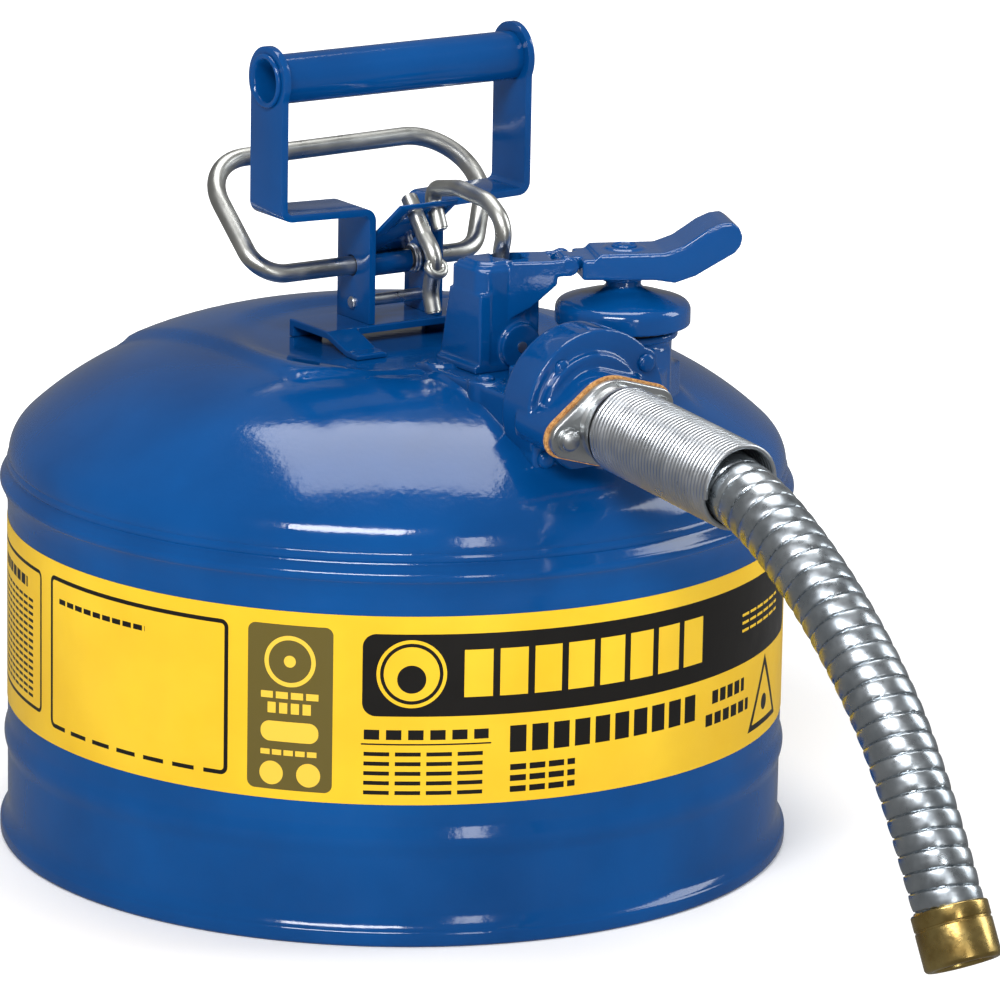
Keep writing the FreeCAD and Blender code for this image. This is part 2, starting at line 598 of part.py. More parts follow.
def lever_rod(name, radius, start, end, along, height):
    """A cylinder across the lever, between two places across its width."""
    base = at_lid(along, start, height)
    return shaped(name, Part.makeCylinder(radius, end - start, base, lid_turn().multVec(Y_AXIS)))


def lever_block(name, low, high):
    """A box on the lever's slanting line, from one corner to the other."""
    base = at_lid(low[0], low[1], low[2])
    return block(name, [f"{value:.6f}" for value in base],
                 [f"{b - a:.6f}" for a, b in zip(low, high)], lid_turn())


def make_bracket():
    hinge, height = -number("hinge_back"), number("hinge_height")
    top = number("arm_top")
    wide = "block_right - block_left"
    body = block("bracket_block", ("block_left", "block_front", "block_low"),
                 (wide, "block_rear - block_front", "arm_top - block_low"))
    ribs = []
    for side, start in (("left", "block_left"), ("right", "block_right - 4.5")):
        rib = padded(f"bracket_rib_{side}", "YZ_Plane", [
            ("block_front", "193"), ("-45.5", "193"), ("-45.5", "196"), ("block_rear", "222"),
            ("block_front", "222")], "4.5")
        ribs.append(place(rib, (f"{start} + 2.25", "0", "0")))
    base = block("bracket_base", ("block_left - 2", "block_front", "193"), (f"{wide} + 4", "26", "3"))
    lug = rod("bracket_lug", "lug_radius", "6", ("lug_x", "lug_y + 5.9", "lug_height + 1.8"), TOWARDS_FRONT)
    arm = lever_block("bracket_arm", (-44, -9, top - 3.5), (hinge - 4.2, 9, top))
    flanges = [lever_block(f"bracket_flange_{side}", (-40, start, 224), (hinge - 4.2, start + 3, top))
               for side, start in (("front", -9), ("rear", 6))]
    ears = []
    for side, start in (("front", -9), ("rear", 6)):
        ears.append(lever_rod(f"bracket_ear_{side}", 3.6, start, start + 3, hinge, height))
        ears.append(lever_block(f"bracket_ear_web_{side}", (hinge - 5, start, height - 3.6),
                                (hinge, start + 3, height + 2.5)))
    solid = fuse("bracket_solid", body, base, lug, arm, *ribs, *flanges, *ears)
    slot = block("bracket_slot", ("hook_side - hook_radius - 0.7", "hook_entry_away - 11.5", "block_low - 1"),
                 ("hook_radius * 2 + 1.4", "16", "40"))
    well = rod("bracket_well", "5.8", "60", ("rod_x", "rod_y", "190"))
    pin_hole = lever_rod("bracket_pin_hole", number("hinge_pin_radius"), -20, 20, hinge, height)
    lug_hole = rod("bracket_lug_hole", "2", "30", ("lug_x", "lug_y + 5.3", "lug_height + 1.8"), TOWARDS_FRONT)
    node("lever_bracket", cut("lever_bracket", solid, slot, well, pin_hole, lug_hole))

    pin = rod("bracket_pin", "2", "5.8", ("lug_x", "lug_y + 5.3", "lug_height + 1.8"), TOWARDS_FRONT)
    node("bracket_pin", pin)
    hinge_pin = lever_rod("lid_hinge_pin", number("hinge_pin_radius"), -9.6, 9.6, hinge, height)
    node("lid_hinge_pin", hinge_pin)


def make_lid():
    hinge, height = -number("hinge_back"), number("hinge_height")
    half = number("lever_half")
    corners = [(hinge + 4.4, 226.0), (hinge + 4.4, 234.0), (-12.5, 234.0), (-11, 236.0), (13, 236.0),
               (20, 238.3), (29, 244.3), (34, 246.6), (38, 246.8), (41, 244.8), (42.5, 241.5),
               (41.8, 237.5), (39.5, 234.8), (24.5, 226.5), (17, 224.0), (10, 225.2)]
    blade = padded("lever_blade", "XZ_Plane", [(f"{a}", f"{b}") for a, b in corners], "lever_half * 2")
    blade.Placement = FreeCAD.Placement(Vector(number("lid_x"), number("lid_y"), 0), lid_turn())
    knuckle = lever_rod("lever_knuckle", 3.4, -5.4, 5.4, hinge, height)
    tongue = lever_block("lever_tongue", (hinge, -5.4, height - 1.5), (hinge + 5, 5.4, height + 3.0))
    hollow = lever_block("lever_hollow", (-14, -9.4, 220), (14, 9.4, 232))
    pin_hole = lever_rod("lever_pin_hole", number("hinge_pin_radius + running_gap"), -20, 20, hinge, height)
    rivet_hole = rod("lever_rivet_hole", "2.5", "60", ("lid_x", "lid_y", "200"))
    solid = fuse("lever_solid", blade, knuckle, tongue)
    node("thumb_lever", cut("thumb_lever", solid, hollow, pin_hole, rivet_hole))

    shank = rod("rivet_shank", "2.5", "24", ("lid_x", "lid_y", "212"))
    head = rod("rivet_head", "4.8", "1.4", ("lid_x", "lid_y", "236"))
    node("lid_rivet", fuse("lid_rivet", shank, head))

    cap = turned("lid_cap", [
        ("0", "lid_low"), ("lid_radius - 0.8", "lid_low"), ("lid_radius", "lid_low + 0.8"),
        ("lid_radius", "lid_low + lid_rim - 1"), ("lid_radius - 2.5", "215"), ("17", "218.3"),
        ("9", "220.8"), ("6.5", "222.5"),
        ("6.5", "232"), ("2.5", "232"), ("2.5", "212"), ("0", "212")])
    node("lid_cap", place(cap, ("lid_x", "lid_y", "0")))
    gasket = ring("lid_gasket", "neck_radius + 2", "neck_bore - 3", "neck_top + 0.3", "lid_low",
                  ("lid_x", "lid_y"))
    node("lid_gasket", gasket)
    relief = ring("relief_spring", "8.4", "6.6", "223", "230", ("lid_x", "lid_y"))
    node("relief_spring", relief)


# ---------------------------------------------------------------- pour valve
def make_valve():
    at = ("rod_x", "rod_y")
    shank = rod("valve_shank", "rod_radius", "rod_top - seat_low + 4", (*at, "seat_low - 4"))
    button = rod("valve_button", "5.2", "4", (*at, "rod_top - 4"))
    node("valve_rod", fuse("valve_rod", shank, button))
    node("valve_disc", ring("valve_disc", "disc_radius", "rod_radius", "seat_low - 4", "seat_low - 1.5", at))
    node("valve_seal", ring("valve_seal", "disc_radius", "rod_radius",
                            "seat_low - 1.5", "seat_low - 0.3", at))
    node("valve_spring", ring("valve_spring", "4.8", "3.6", "193", "rod_top - 4.3", at))


make_can_body()
make_dome()
make_handle()
make_trigger()
make_hooks()
make_manifold()
make_port_parts()
make_hose()
make_bracket()
make_lid()
make_valve()

doc.recompute()
faults = [thing.Name for thing in doc.Objects if "Invalid" in thing.State or "Error" in thing.State]
for name, thing in NODES.items():
    if thing.Shape.isNull() or not thing.Shape.isValid() or not thing.Shape.Solids:
        faults.append(name)
if faults:
    raise RuntimeError(f"these pieces failed: {faults}")
for name, thing in NODES.items():
    thing.Shape.exportStep(f"parts/{name}.step")
    box = thing.Shape.BoundBox
    print(f"{name:20s} solids {len(thing.Shape.Solids)} volume {thing.Shape.Volume:10.1f}"
          f"  x {box.XMin:7.1f} {box.XMax:7.1f}  y {box.YMin:7.1f} {box.YMax:7.1f}"
          f"  z {box.ZMin:6.1f} {box.ZMax:6.1f}")
print(len(NODES), "nodes")
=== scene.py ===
# %% [markdown]
# # A safety gas can, piece by piece
# A packed engineering model gives every part's exact place. This lesson puts finished surfaces round it:
# pressed and painted steel, a cast head, bent wire, a coil and a ribbed hose. The engineering model never
# moves.

# %% Load the frame
import math

import bmesh
import bpy
from mathutils import Matrix, Vector


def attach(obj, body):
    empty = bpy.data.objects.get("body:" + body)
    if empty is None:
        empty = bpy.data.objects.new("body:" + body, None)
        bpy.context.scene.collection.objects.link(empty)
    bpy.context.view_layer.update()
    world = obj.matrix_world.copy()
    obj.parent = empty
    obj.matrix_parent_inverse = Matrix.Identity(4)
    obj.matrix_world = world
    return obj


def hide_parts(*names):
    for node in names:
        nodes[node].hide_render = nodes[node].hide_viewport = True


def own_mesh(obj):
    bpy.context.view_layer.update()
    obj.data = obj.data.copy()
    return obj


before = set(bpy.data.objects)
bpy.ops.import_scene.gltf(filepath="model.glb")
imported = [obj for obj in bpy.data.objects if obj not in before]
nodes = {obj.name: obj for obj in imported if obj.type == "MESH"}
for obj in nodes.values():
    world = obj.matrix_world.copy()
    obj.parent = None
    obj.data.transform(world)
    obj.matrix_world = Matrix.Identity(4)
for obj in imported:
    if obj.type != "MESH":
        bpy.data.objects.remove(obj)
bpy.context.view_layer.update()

MM = 0.001
X, Y, Z = Vector((1, 0, 0)), Vector((0, 1, 0)), Vector((0, 0, 1))

# %% [markdown]
# ## Camera and light
# A long lens, far away, keeps the can's round wall free of strong perspective. The camera looks slightly
# down from the hose's left, and leans by one degree. Soft lights are large area lamps: their size is what
# makes gloss look smooth.

# %% Camera
scene = bpy.context.scene
camera_data = bpy.data.cameras.new("camera")
camera_data.lens, camera_data.sensor_width = 238.3, 36.0
camera = bpy.data.objects.new("camera", camera_data)
scene.collection.objects.link(camera)
camera.location = Vector((-1.3141, -2.0235, 0.7545))
aim = Vector((0.0325, -0.0211, 0.1284))
lean = Matrix.Rotation(math.radians(1.04), 4, "Z")
camera.matrix_world = (Matrix.Translation(camera.location)
                       @ (aim - camera.location).to_track_quat("-Z", "Y").to_matrix().to_4x4() @ lean)
scene.camera = camera
scene.view_settings.view_transform = "Standard"
print("camera distance:", round((aim - camera.location).length, 3), "m")


# %% Soft studio lights
def softbox(name, place, target, size, watts, tint=(1.0, 1.0, 1.0)):
    """A rectangular area lamp that faces a target."""
    data = bpy.data.lights.new(name, "AREA")
    data.shape, data.size, data.size_y, data.energy, data.color = "RECTANGLE", *size, watts, tint
    lamp = bpy.data.objects.new(name, data)
    lamp.location = place
    lamp.rotation_euler = (Vector(target) - Vector(place)).to_track_quat("-Z", "Y").to_euler()
    scene.collection.objects.link(lamp)
    return lamp


softbox("key_light", (-1.6, -1.4, 1.95), (0, 0, 0.15), (1.5, 0.6), 62, (0.98, 0.98, 1.0))
softbox("side_light", (1.9, -0.9, 1.2), (0, -0.1, 0.15), (0.8, 1.4), 18, (0.95, 0.98, 1.0))
softbox("front_strip", (-0.5, -2.6, 0.7), (0, 0, 0.1), (0.35, 1.1), 9)
softbox("top_light", (0.3, 0.5, 2.4), (0, 0, 0.2), (1.4, 1.4), 30)
world = bpy.data.worlds.new("studio")
world.use_nodes = True
world.node_tree.nodes["Background"].inputs["Color"].default_value = (1.0, 1.0, 1.0, 1)
world.node_tree.nodes["Background"].inputs["Strength"].default_value = 0.20
scene.world = world

# %% [markdown]
# ## Shader maths as Python
# Node trees read badly when every link is a line of code. A small wrapper holds one output socket, and its
# operators add the Math nodes. Colours and vectors have their own mixing nodes, because Math would turn
# them grey.


# %% Socket wrapper
class Value:
    """An output socket: an expression on it adds its Math nodes."""

    def __init__(self, finish, socket):
        self.finish, self.socket = finish, socket

    def math(self, operation, *others):
        return self.finish.node("ShaderNodeMath", {"operation": operation}, dict(enumerate((self, *others))))

    def __add__(self, other):
        return self.math("ADD", other)

    def __sub__(self, other):
        return self.math("SUBTRACT", other)

    def __mul__(self, other):
        return self.math("MULTIPLY", other)

    def __truediv__(self, other):
        return self.math("DIVIDE", other)

    def __rsub__(self, other):
        return self.finish.node("ShaderNodeMath", {"operation": "SUBTRACT"}, {0: other, 1: self})

    __rmul__ = __mul__

    def __lt__(self, other):
        return self.math("LESS_THAN", other)

    def __gt__(self, other):
        return self.math("GREATER_THAN", other)

    def __or__(self, other):
        return self.math("MAXIMUM", other)

    def __abs__(self):
        return self.math("ABSOLUTE")


class Finish:
    """A material, with one method that adds any node and links its inputs."""

    def __init__(self, name, **constants):
        self.material = bpy.data.materials.new(name)
        self.material.use_nodes = True
        self.tree = self.material.node_tree
        self.surface = self.tree.nodes["Principled BSDF"]
        self.drive(**constants)

    def node(self, kind, settings=None, inputs=None, out=0):
        made = self.tree.nodes.new(kind)
        for key, value in (settings or {}).items():
            setattr(made, key, value)
        for key, value in (inputs or {}).items():
            self.feed(made.inputs[key], value)
        return Value(self, made.outputs[out])

    def feed(self, socket, value):
        if isinstance(value, Value):
            self.tree.links.new(value.socket, socket)
        else:
            socket.default_value = value

    def drive(self, **sockets):
        for name, value in sockets.items():
            self.feed(self.surface.inputs["IOR" if name == "ior" else name.replace("_", " ").title()], value)

    def place(self):
        return self.node("ShaderNodeTexCoord", out="Object")

    def axes(self):
        """The place split into its three numbers, in metres."""
        split = self.node("ShaderNodeSeparateXYZ", {}, {0: self.place()}).socket.node
        return [Value(self, split.outputs[axis]) for axis in "XYZ"]

    def noise(self, scale, detail=3.0, stretch=(1, 1, 1), rough=0.5):
        spot = self.node("ShaderNodeVectorMath", {"operation": "MULTIPLY"}, {0: self.place(), 1: stretch})
        return self.node("ShaderNodeTexNoise", {}, {"Vector": spot, "Scale": scale, "Detail": detail,
                                                    "Roughness": rough})

    def mix(self, factor, first, second):
        return self.node("ShaderNodeMix", {"data_type": "RGBA"}, {0: factor, 6: first, 7: second}, out=2)

    def ramp(self, factor, low, high, low_value=0.0, high_value=1.0):
        return self.node("ShaderNodeMapRange", {}, {"Value": factor, "From Min": low, "From Max": high,
                                                    "To Min": low_value, "To Max": high_value})

    def bump(self, height, strength=0.2, distance=0.0005):
        self.drive(normal=self.node("ShaderNodeBump", {}, {"Height": height, "Strength": strength,
                                                           "Distance": distance}))


def colour(red, green, blue):
    """A linear colour from everyday screen values of 0 to 255."""
    def linear(value):
        value /= 255
        return value / 12.92 if value <= 0.04045 else ((value + 0.055) / 1.055) ** 2.4
    return (linear(red), linear(green), linear(blue), 1.0)


print("blue enamel in linear light:", [round(value, 3) for value in colour(3, 74, 138)[:3]])

# %% [markdown]
# ## Finishes
# Powder coat is a thick, glossy skin: its colour hardly varies, but its surface ripples like orange peel,
# and dust dulls it in patches. Bare zinc and steel have no colour of their own, so all their character is
# in the roughness.


# %% Blue enamel
def enamel(name, peel=0.10, scale=420.0, coat=0.15):
    """Thick paint whose skin ripples; the peel is how deep the ripples are."""
    finish = Finish(name, metallic=0.0, coat_weight=coat, coat_roughness=0.04, ior=1.44)
    drift = finish.noise(14, 4)
    finish.drive(base_color=finish.mix(finish.ramp(drift, 0.3, 0.7), colour(2, 60, 116), colour(3, 74, 138)))
    dust = finish.noise(60, 6, rough=0.6)
    finish.drive(roughness=finish.ramp(dust, 0.3, 0.75, 0.07, 0.17))
    finish.bump(finish.noise(scale, 2) + 0.35 * finish.noise(scale * 0.22, 2), peel, 0.0006)
    return finish.material


blue = enamel("blue_enamel")
cast_blue = enamel("cast_blue_enamel", peel=0.22, scale=300.0, coat=0.5)
print("enamels:", blue.name, cast_blue.name)


# %% Bare metals
def metal(name, tint, dark, rough, grain=(1, 1, 1), scale=90.0, bumpy=0.06):
    """A metal with cloudy tone, streaks along one direction and fine pitting."""
    finish = Finish(name, metallic=1.0)
    cloud = finish.noise(scale, 5, grain, 0.6)
    finish.drive(base_color=finish.mix(finish.ramp(cloud, 0.35, 0.7), dark, tint))
    wear = finish.noise(scale * 3.1, 3, grain)
    finish.drive(roughness=finish.ramp(wear, 0.3, 0.7, rough * 0.8, rough * 1.35))
    finish.bump(finish.noise(scale * 9, 2, grain), bumpy, 0.0003)
    return finish.material


zinc = metal("zinc_plate", colour(216, 218, 218), colour(194, 198, 200), 0.31, scale=50, bumpy=0.02)
wire_metal = metal("plated_wire", colour(206, 206, 200), colour(188, 189, 185), 0.34, scale=40, bumpy=0.01)
coil_metal = metal("coil_wire", colour(222, 225, 228), colour(202, 206, 210), 0.33, scale=40, bumpy=0.0)
strip_metal = metal("hose_strip", colour(200, 206, 210), colour(166, 174, 180), 0.29, scale=70, bumpy=0.05)
brass = metal("brass_end", colour(206, 182, 116), colour(160, 132, 74), 0.24, scale=80, bumpy=0.10)
dark_steel = metal("oiled_steel", colour(120, 120, 118), colour(70, 70, 70), 0.4)
print("metals:", [finish.name for finish in (zinc, wire_metal, coil_metal, strip_metal, brass, dark_steel)])


# %% Gasket, seal and screen
def speckled(name, light, dark, scale, rough):
    """A dull material made of light and dark grains."""
    finish = Finish(name)
    grains = finish.noise(scale, 6, rough=0.7)
    finish.drive(base_color=finish.mix(finish.ramp(grains, 0.42, 0.6), dark, light), roughness=rough)
    finish.bump(grains, 0.5, 0.0004)
    return finish.material


SCREEN_RADIUS, WIRE_PITCH = 0.015, 0.0016


def woven(name, pitch):
    """Wire cloth: two crossing sets of rounded wires, with painted shade in the gaps between them."""
    finish = Finish(name, metallic=0.8, roughness=0.4)
    x, y, z = finish.axes()
    round_wires = (x.math("ARCTAN2", y) * (2 * math.pi * SCREEN_RADIUS / pitch)).math("SINE")
    up_wires = (z * (2 * math.pi / pitch)).math("SINE")
    weave = abs(round_wires) | abs(up_wires)
    crossing = finish.ramp(weave, 0.5, 0.9)
    # The near-black colour in the gaps is painted shade: the dark space seen through the openings of the cloth.
    finish.drive(base_color=finish.mix(crossing, colour(30, 30, 32), colour(185, 188, 190)))
    finish.bump(weave, 0.6, 0.0004)
    return finish.material


cork = speckled("cork_gasket", colour(212, 160, 96), colour(150, 100, 52), 900, 0.85)
seal = speckled("seal_rubber", colour(38, 38, 40), colour(20, 20, 22), 500, 0.7)
cloth = woven("wire_cloth", WIRE_PITCH)
print("soft and woven:", cork.name, seal.name, cloth.name)

# %% [markdown]
# ## Helpers for shapes
# Most of this object is round, bent or cast. A lathe turns a profile, a rounded path bends wire, and a clay
# helper gathers overlapping solids and fuses them with a voxel remesh, whose smoothing gives the soft
# corners of a casting.


# %% Objects from a mesh in millimetres
def make_object(name, bm, finish, body="can", smooth=35):
    """An object from a mesh drawn in millimetres, which rides on one of the frame's bodies."""
    bmesh.ops.scale(bm, vec=(MM, MM, MM), verts=bm.verts)
    bmesh.ops.recalc_face_normals(bm, faces=bm.faces)
    mesh = bpy.data.meshes.new(name)
    bm.to_mesh(mesh)
    bm.free()
    mesh.shade_smooth()
    mesh.set_sharp_from_angle(angle=math.radians(smooth))
    thing = bpy.data.objects.new(name, mesh)
    scene.collection.objects.link(thing)
    mesh.materials.append(finish)
    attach(thing, body)
    return thing


def freeze(thing, smooth=35):
    """Turns the modifiers into plain mesh, and keeps the material."""
    finish = thing.data.materials[0]
    graph = bpy.context.evaluated_depsgraph_get()
    mesh = bpy.data.meshes.new_from_object(thing.evaluated_get(graph))
    thing.modifiers.clear()
    thing.data = mesh
    mesh.materials.clear()
    mesh.materials.append(finish)
    mesh.shade_smooth()
    mesh.set_sharp_from_angle(angle=math.radians(smooth))
    return thing


def soften(thing, width, steps=3, angle=32):
    """Rounds every edge sharper than an angle."""
    bevel = thing.modifiers.new("edges", "BEVEL")
    bevel.width, bevel.segments, bevel.limit_method = width * MM, steps, "ANGLE"
    bevel.angle_limit = math.radians(angle)
    thing.modifiers.new("even_normals", "WEIGHTED_NORMAL").keep_sharp = True
    return freeze(thing, 50)


def drill(thing, *tools, smooth=35):
    """Cuts each tool's shape out of a piece, and takes the tool away."""
    for tool in tools:
        hole = thing.modifiers.new("hole", "BOOLEAN")
        hole.operation, hole.object, hole.solver = "DIFFERENCE", tool, "EXACT"
        freeze(thing, smooth)
        bpy.data.objects.remove(tool)
    return thing


# %% Circles, rings and arcs
def circle(radius, steps):
    """Points on a circle round the origin, as pairs."""
    turns = [2 * math.pi * k / steps for k in range(steps)]
    return [(radius * math.cos(a), radius * math.sin(a)) for a in turns]


def skin(bm, first, second):
    """A strip of faces between two rings that have the same number of points."""
    for k in range(len(first)):
        after = (k + 1) % len(first)
        bm.faces.new((first[k], first[after], second[after], second[k]))


def arc(across, up, radius, start, end, steps=8):
    """Points on a circle, from one angle to another in degrees."""
    angles = [math.radians(start + (end - start) * k / steps) for k in range(steps + 1)]
    return [(across + radius * math.cos(a), up + radius * math.sin(a)) for a in angles]


def lathe(name, profile, finish, body="can", spin=Matrix(), steps=128, smooth=35):
    """Turns a closed (radius, height) profile about its axis, which the spin matrix then places."""
    bm, rings = bmesh.new(), []
    for radius, height in profile:
        spots = [(0.0, 0.0)] if radius == 0 else circle(radius, steps)
        rings.append([bm.verts.new(spin @ Vector((x, y, height))) for x, y in spots])
    for lower, upper in zip(rings, rings[1:] + rings[:1]):
        for k in range(steps):
            after = (k + 1) % steps
            corners = (lower[k % len(lower)], lower[after % len(lower)],
                       upper[after % len(upper)], upper[k % len(upper)])
            different = list(dict.fromkeys(corners))
            if len(different) > 2:
                bm.faces.new(different)
    return make_object(name, bm, finish, body, smooth)


# %% Rounded paths and wire
def rounded(points, radii, closed=False, turn_step=6):
    """Straight runs through points, joined by arcs that touch both runs, as a list of points."""
    count, line = len(points), []
    points = [Vector(point) for point in points]
    for i, (point, radius) in enumerate(zip(points, radii)):
        if radius == 0 or (not closed and i in (0, count - 1)):
            line.append(point)
            continue
        back = (points[i - 1] - point).normalized()
        ahead = (points[(i + 1) % count] - point).normalized()
        half = back.angle(ahead) / 2
        centre = point + (back + ahead).normalized() * (radius / math.sin(half))
        start = point + back * (radius / math.tan(half)) - centre
        axis, swing = back.cross(ahead).normalized(), math.pi - 2 * half
        steps = max(2, int(math.degrees(swing) / turn_step))
        line += [centre + Matrix.Rotation(-swing * k / steps, 3, axis) @ start for k in range(steps + 1)]
    return line


def helix(radius, pitch, low, high, place, steps=40):
    """The centre line of a spring, which starts half a pitch above one height and ends half below the other."""
    climb = high - low - pitch
    count = int(climb / pitch * steps)
    angles = [2 * math.pi * k / steps for k in range(count + 1)]
    return [place @ Vector((radius * math.cos(a), radius * math.sin(a), low + pitch / 2 + climb * k / count))
            for k, a in enumerate(angles)]


def bent_wire(name, line, radius, finish, body="can", closed=False, sides=24):
    """A round wire along a line of points, with slightly rounded cut ends."""
    bm = bmesh.new()
    rings, side = [], None
    for i, point in enumerate(line):
        before = line[i - 1] if closed or i else point
        after = line[(i + 1) % len(line)] if closed or i < len(line) - 1 else point
        heading = (after - before).normalized()
        side = heading.orthogonal() if side is None else side - heading * side.dot(heading)
        side.normalize()
        across = heading.cross(side)
        rings.append([bm.verts.new(point + radius * (side * x + across * y)) for x, y in circle(1, sides)])
    for first, second in zip(rings, rings[1:] + (rings[:1] if closed else [])):
        skin(bm, first, second)
    if not closed:
        caps = [bm.faces.new(rings[0][::-1]), bm.faces.new(rings[-1])]
        edges = list({edge for cap in caps for edge in cap.edges})
        bmesh.ops.bevel(bm, geom=edges, offset=radius * 0.18, segments=2, affect="EDGES")
    return make_object(name, bm, finish, body, 40)


bend = rounded([(0, 0, 0), (20, 0, 0), (20, 20, 0)], [0, 5, 0])
print("a right-angle bend of radius 5 has", len(bend), "points")


# %% Clay for castings and stampings
class Clay:
    """Closed solids gathered in one mesh, in millimetres."""

    def __init__(self):
        self.bm = bmesh.new()

    def prism(self, outline, low, high, place=Matrix()):
        """A flat outline given depth between two heights, then placed."""
        rings = [[self.bm.verts.new(place @ Vector((x, y, z))) for x, y in outline] for z in (low, high)]
        self.bm.faces.new(rings[0][::-1])
        self.bm.faces.new(rings[1])
        skin(self.bm, *rings)
        return self

    def box(self, low, high, place=Matrix()):
        return self.prism([(low[0], low[1]), (high[0], low[1]), (high[0], high[1]), (low[0], high[1])],
                          low[2], high[2], place)

    def disc(self, radius, low, high, place=Matrix(), steps=96):
        return self.prism(circle(radius, steps), low, high, place)

    def take(self, thing, place):
        """Adds a finished object, placed, and takes the object itself away."""
        thing.data.transform(place @ Matrix.Scale(1 / MM, 4))
        self.bm.from_mesh(thing.data)
        bpy.data.objects.remove(thing)

    def done(self, name, finish, body="can", smooth=35):
        return make_object(name, self.bm, finish, body, smooth)

    def cast(self, name, finish, body="can", voxel=0.6, rounds=4):
        """One fused skin: a voxel remesh joins the solids, and smoothing rounds every corner."""
        thing = self.done(name, finish, body)
        fuse = thing.modifiers.new("fuse", "REMESH")
        fuse.mode, fuse.voxel_size = "VOXEL", voxel * MM
        even = thing.modifiers.new("round", "SMOOTH")
        even.iterations, even.factor = rounds, 0.5
        return freeze(thing, 70)


def along(direction, place=(0, 0, 0)):
    """A matrix that turns +Z to a direction and moves the origin to a place."""
    return Matrix.Translation(Vector(place)) @ Vector(direction).to_track_quat("Z", "Y").to_matrix().to_4x4()


print("helpers ready")

# %% [markdown]
# ## The free hose comes first
# The pour hose is a strip of steel wound into a tube whose turns lock into each other, so each turn is a
# smooth raised band with a thin dark seam. A smooth spline carries its line. The bands are then swept along
# points read from it.

# %% The hose's line
HOSE_RADIUS, HOSE_BORE, SLEEVE_RADIUS, COIL_WIRE = 12.5, 10.0, 16.0, 1.9
SPUD_START, SPUD_END, SLEEVE_END = 11.5, 50.6, 84.0
PORT = Vector((0, -136.4, 188.2))
PORT_TURN = Matrix.Rotation(math.radians(90 + 4.5), 4, "X")
port_place = Matrix.Translation(PORT) @ PORT_TURN
OUT = (PORT_TURN @ Z).normalized()
hose_start = PORT + OUT * SPUD_END
route = [hose_start] + [Vector((0, -front, height)) for front, height in (
    (214.4, 182.1), (244.0, 172.0), (285.0, 145.0), (322.0, 106.5), (344.9, 63.7))]


def spline_points(route):
    """Points of a smooth spline that has the route as its control points, in millimetres."""
    curve = bpy.data.curves.new("route", "CURVE")
    curve.dimensions, curve.resolution_u = "3D", 64
    spline = curve.splines.new("NURBS")
    spline.points.add(len(route) - 1)
    for point, spot in zip(spline.points, route):
        point.co = (*spot, 1)
    spline.order_u, spline.use_endpoint_u = 3, True
    holder = bpy.data.objects.new("route", curve)
    scene.collection.objects.link(holder)
    bpy.context.view_layer.update()
    mesh = bpy.data.meshes.new_from_object(holder)
    points = [vertex.co.copy() for vertex in mesh.vertices]
    bpy.data.objects.remove(holder)
    return points


hose_line = spline_points(route)


# %% Sweep with a changing radius
def even(line, spacing):
    """The same line, at even spacing."""
    total = [0.0]
    for a, b in zip(line, line[1:]):
        total.append(total[-1] + (b - a).length)
    steps, spots, i = max(2, round(total[-1] / spacing)), [], 0
    for k in range(steps + 1):
        target = total[-1] * k / steps
        while i < len(line) - 2 and total[i + 1] < target:
            i += 1
        spots.append(line[i].lerp(line[i + 1], (target - total[i]) / max(total[i + 1] - total[i], 1e-9)))
    return spots


def sweep(name, line, radius_at, bore, finish, sides=96):
    """A tube with a plain bore, whose outside depends on the place along it and the angle round it."""
    bm = bmesh.new()
    turns = [2 * math.pi * k / sides for k in range(sides)]
    side, run, outer, inner = Vector((1, 0, 0)), 0.0, [], []
    for i, point in enumerate(line):
        heading = (line[min(i + 1, len(line) - 1)] - line[max(i - 1, 0)]).normalized()
        side = (side - heading * side.dot(heading)).normalized()
        across = heading.cross(side)
        run += (point - line[i - 1]).length if i else 0.0
        spokes = [side * math.cos(a) + across * math.sin(a) for a in turns]
        outer.append([bm.verts.new(point + radius_at(run, a) * spoke) for a, spoke in zip(turns, spokes)])
        inner.append([bm.verts.new(point + bore * spoke) for spoke in spokes])
    loop = outer + inner[::-1]
    for first, second in zip(loop, loop[1:] + loop[:1]):
        skin(bm, first, second)
    return make_object(name, bm, finish, smooth=60)


BAND_PITCH, SEAM_SHARE, SEAM_DEPTH = 6.6, 0.13, 0.95


def band_radius(run, angle):
    """Raised bands with a narrow seam between them, which climbs like a screw thread."""
    share = (run / BAND_PITCH + angle / (2 * math.pi)) % 1.0
    if share < SEAM_SHARE:
        dip = math.sin(math.pi * share / SEAM_SHARE)
        return HOSE_RADIUS - 0.35 - SEAM_DEPTH * dip
    crown = (share - SEAM_SHARE) / (1 - SEAM_SHARE)
    return HOSE_RADIUS - 0.05 - 0.3 * abs(2 * crown - 1) ** 3 - 0.25 * crown


hose = sweep("ribbed_hose", even(hose_line, 0.28), band_radius, HOSE_BORE, strip_metal)
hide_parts("pour_hose")
print("hose vertices:", len(hose.data.vertices))

# %% [markdown]
# The sleeve is a spring wound tight from round wire. A real helix of wire catches light on every turn,
# which a bump could only suggest. The brass end is turned on a lathe: a plain band with rounded rims and an
# open mouth.


# %% Coil sleeve, spud and brass end
sleeve_line = helix(SLEEVE_RADIUS - COIL_WIRE / 2, COIL_WIRE * 0.99, SPUD_START, SLEEVE_END, port_place)
sleeve = bent_wire("coil_sleeve", sleeve_line, COIL_WIRE / 2, coil_metal, sides=12)
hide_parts("spring_sleeve")

spud_profile = [(HOSE_BORE, SPUD_START), (12.3, SPUD_START), (12.3, SPUD_END), (HOSE_BORE, SPUD_END)]
spud = lathe("hose_spud_tube", spud_profile, dark_steel, spin=port_place)
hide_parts("hose_spud")

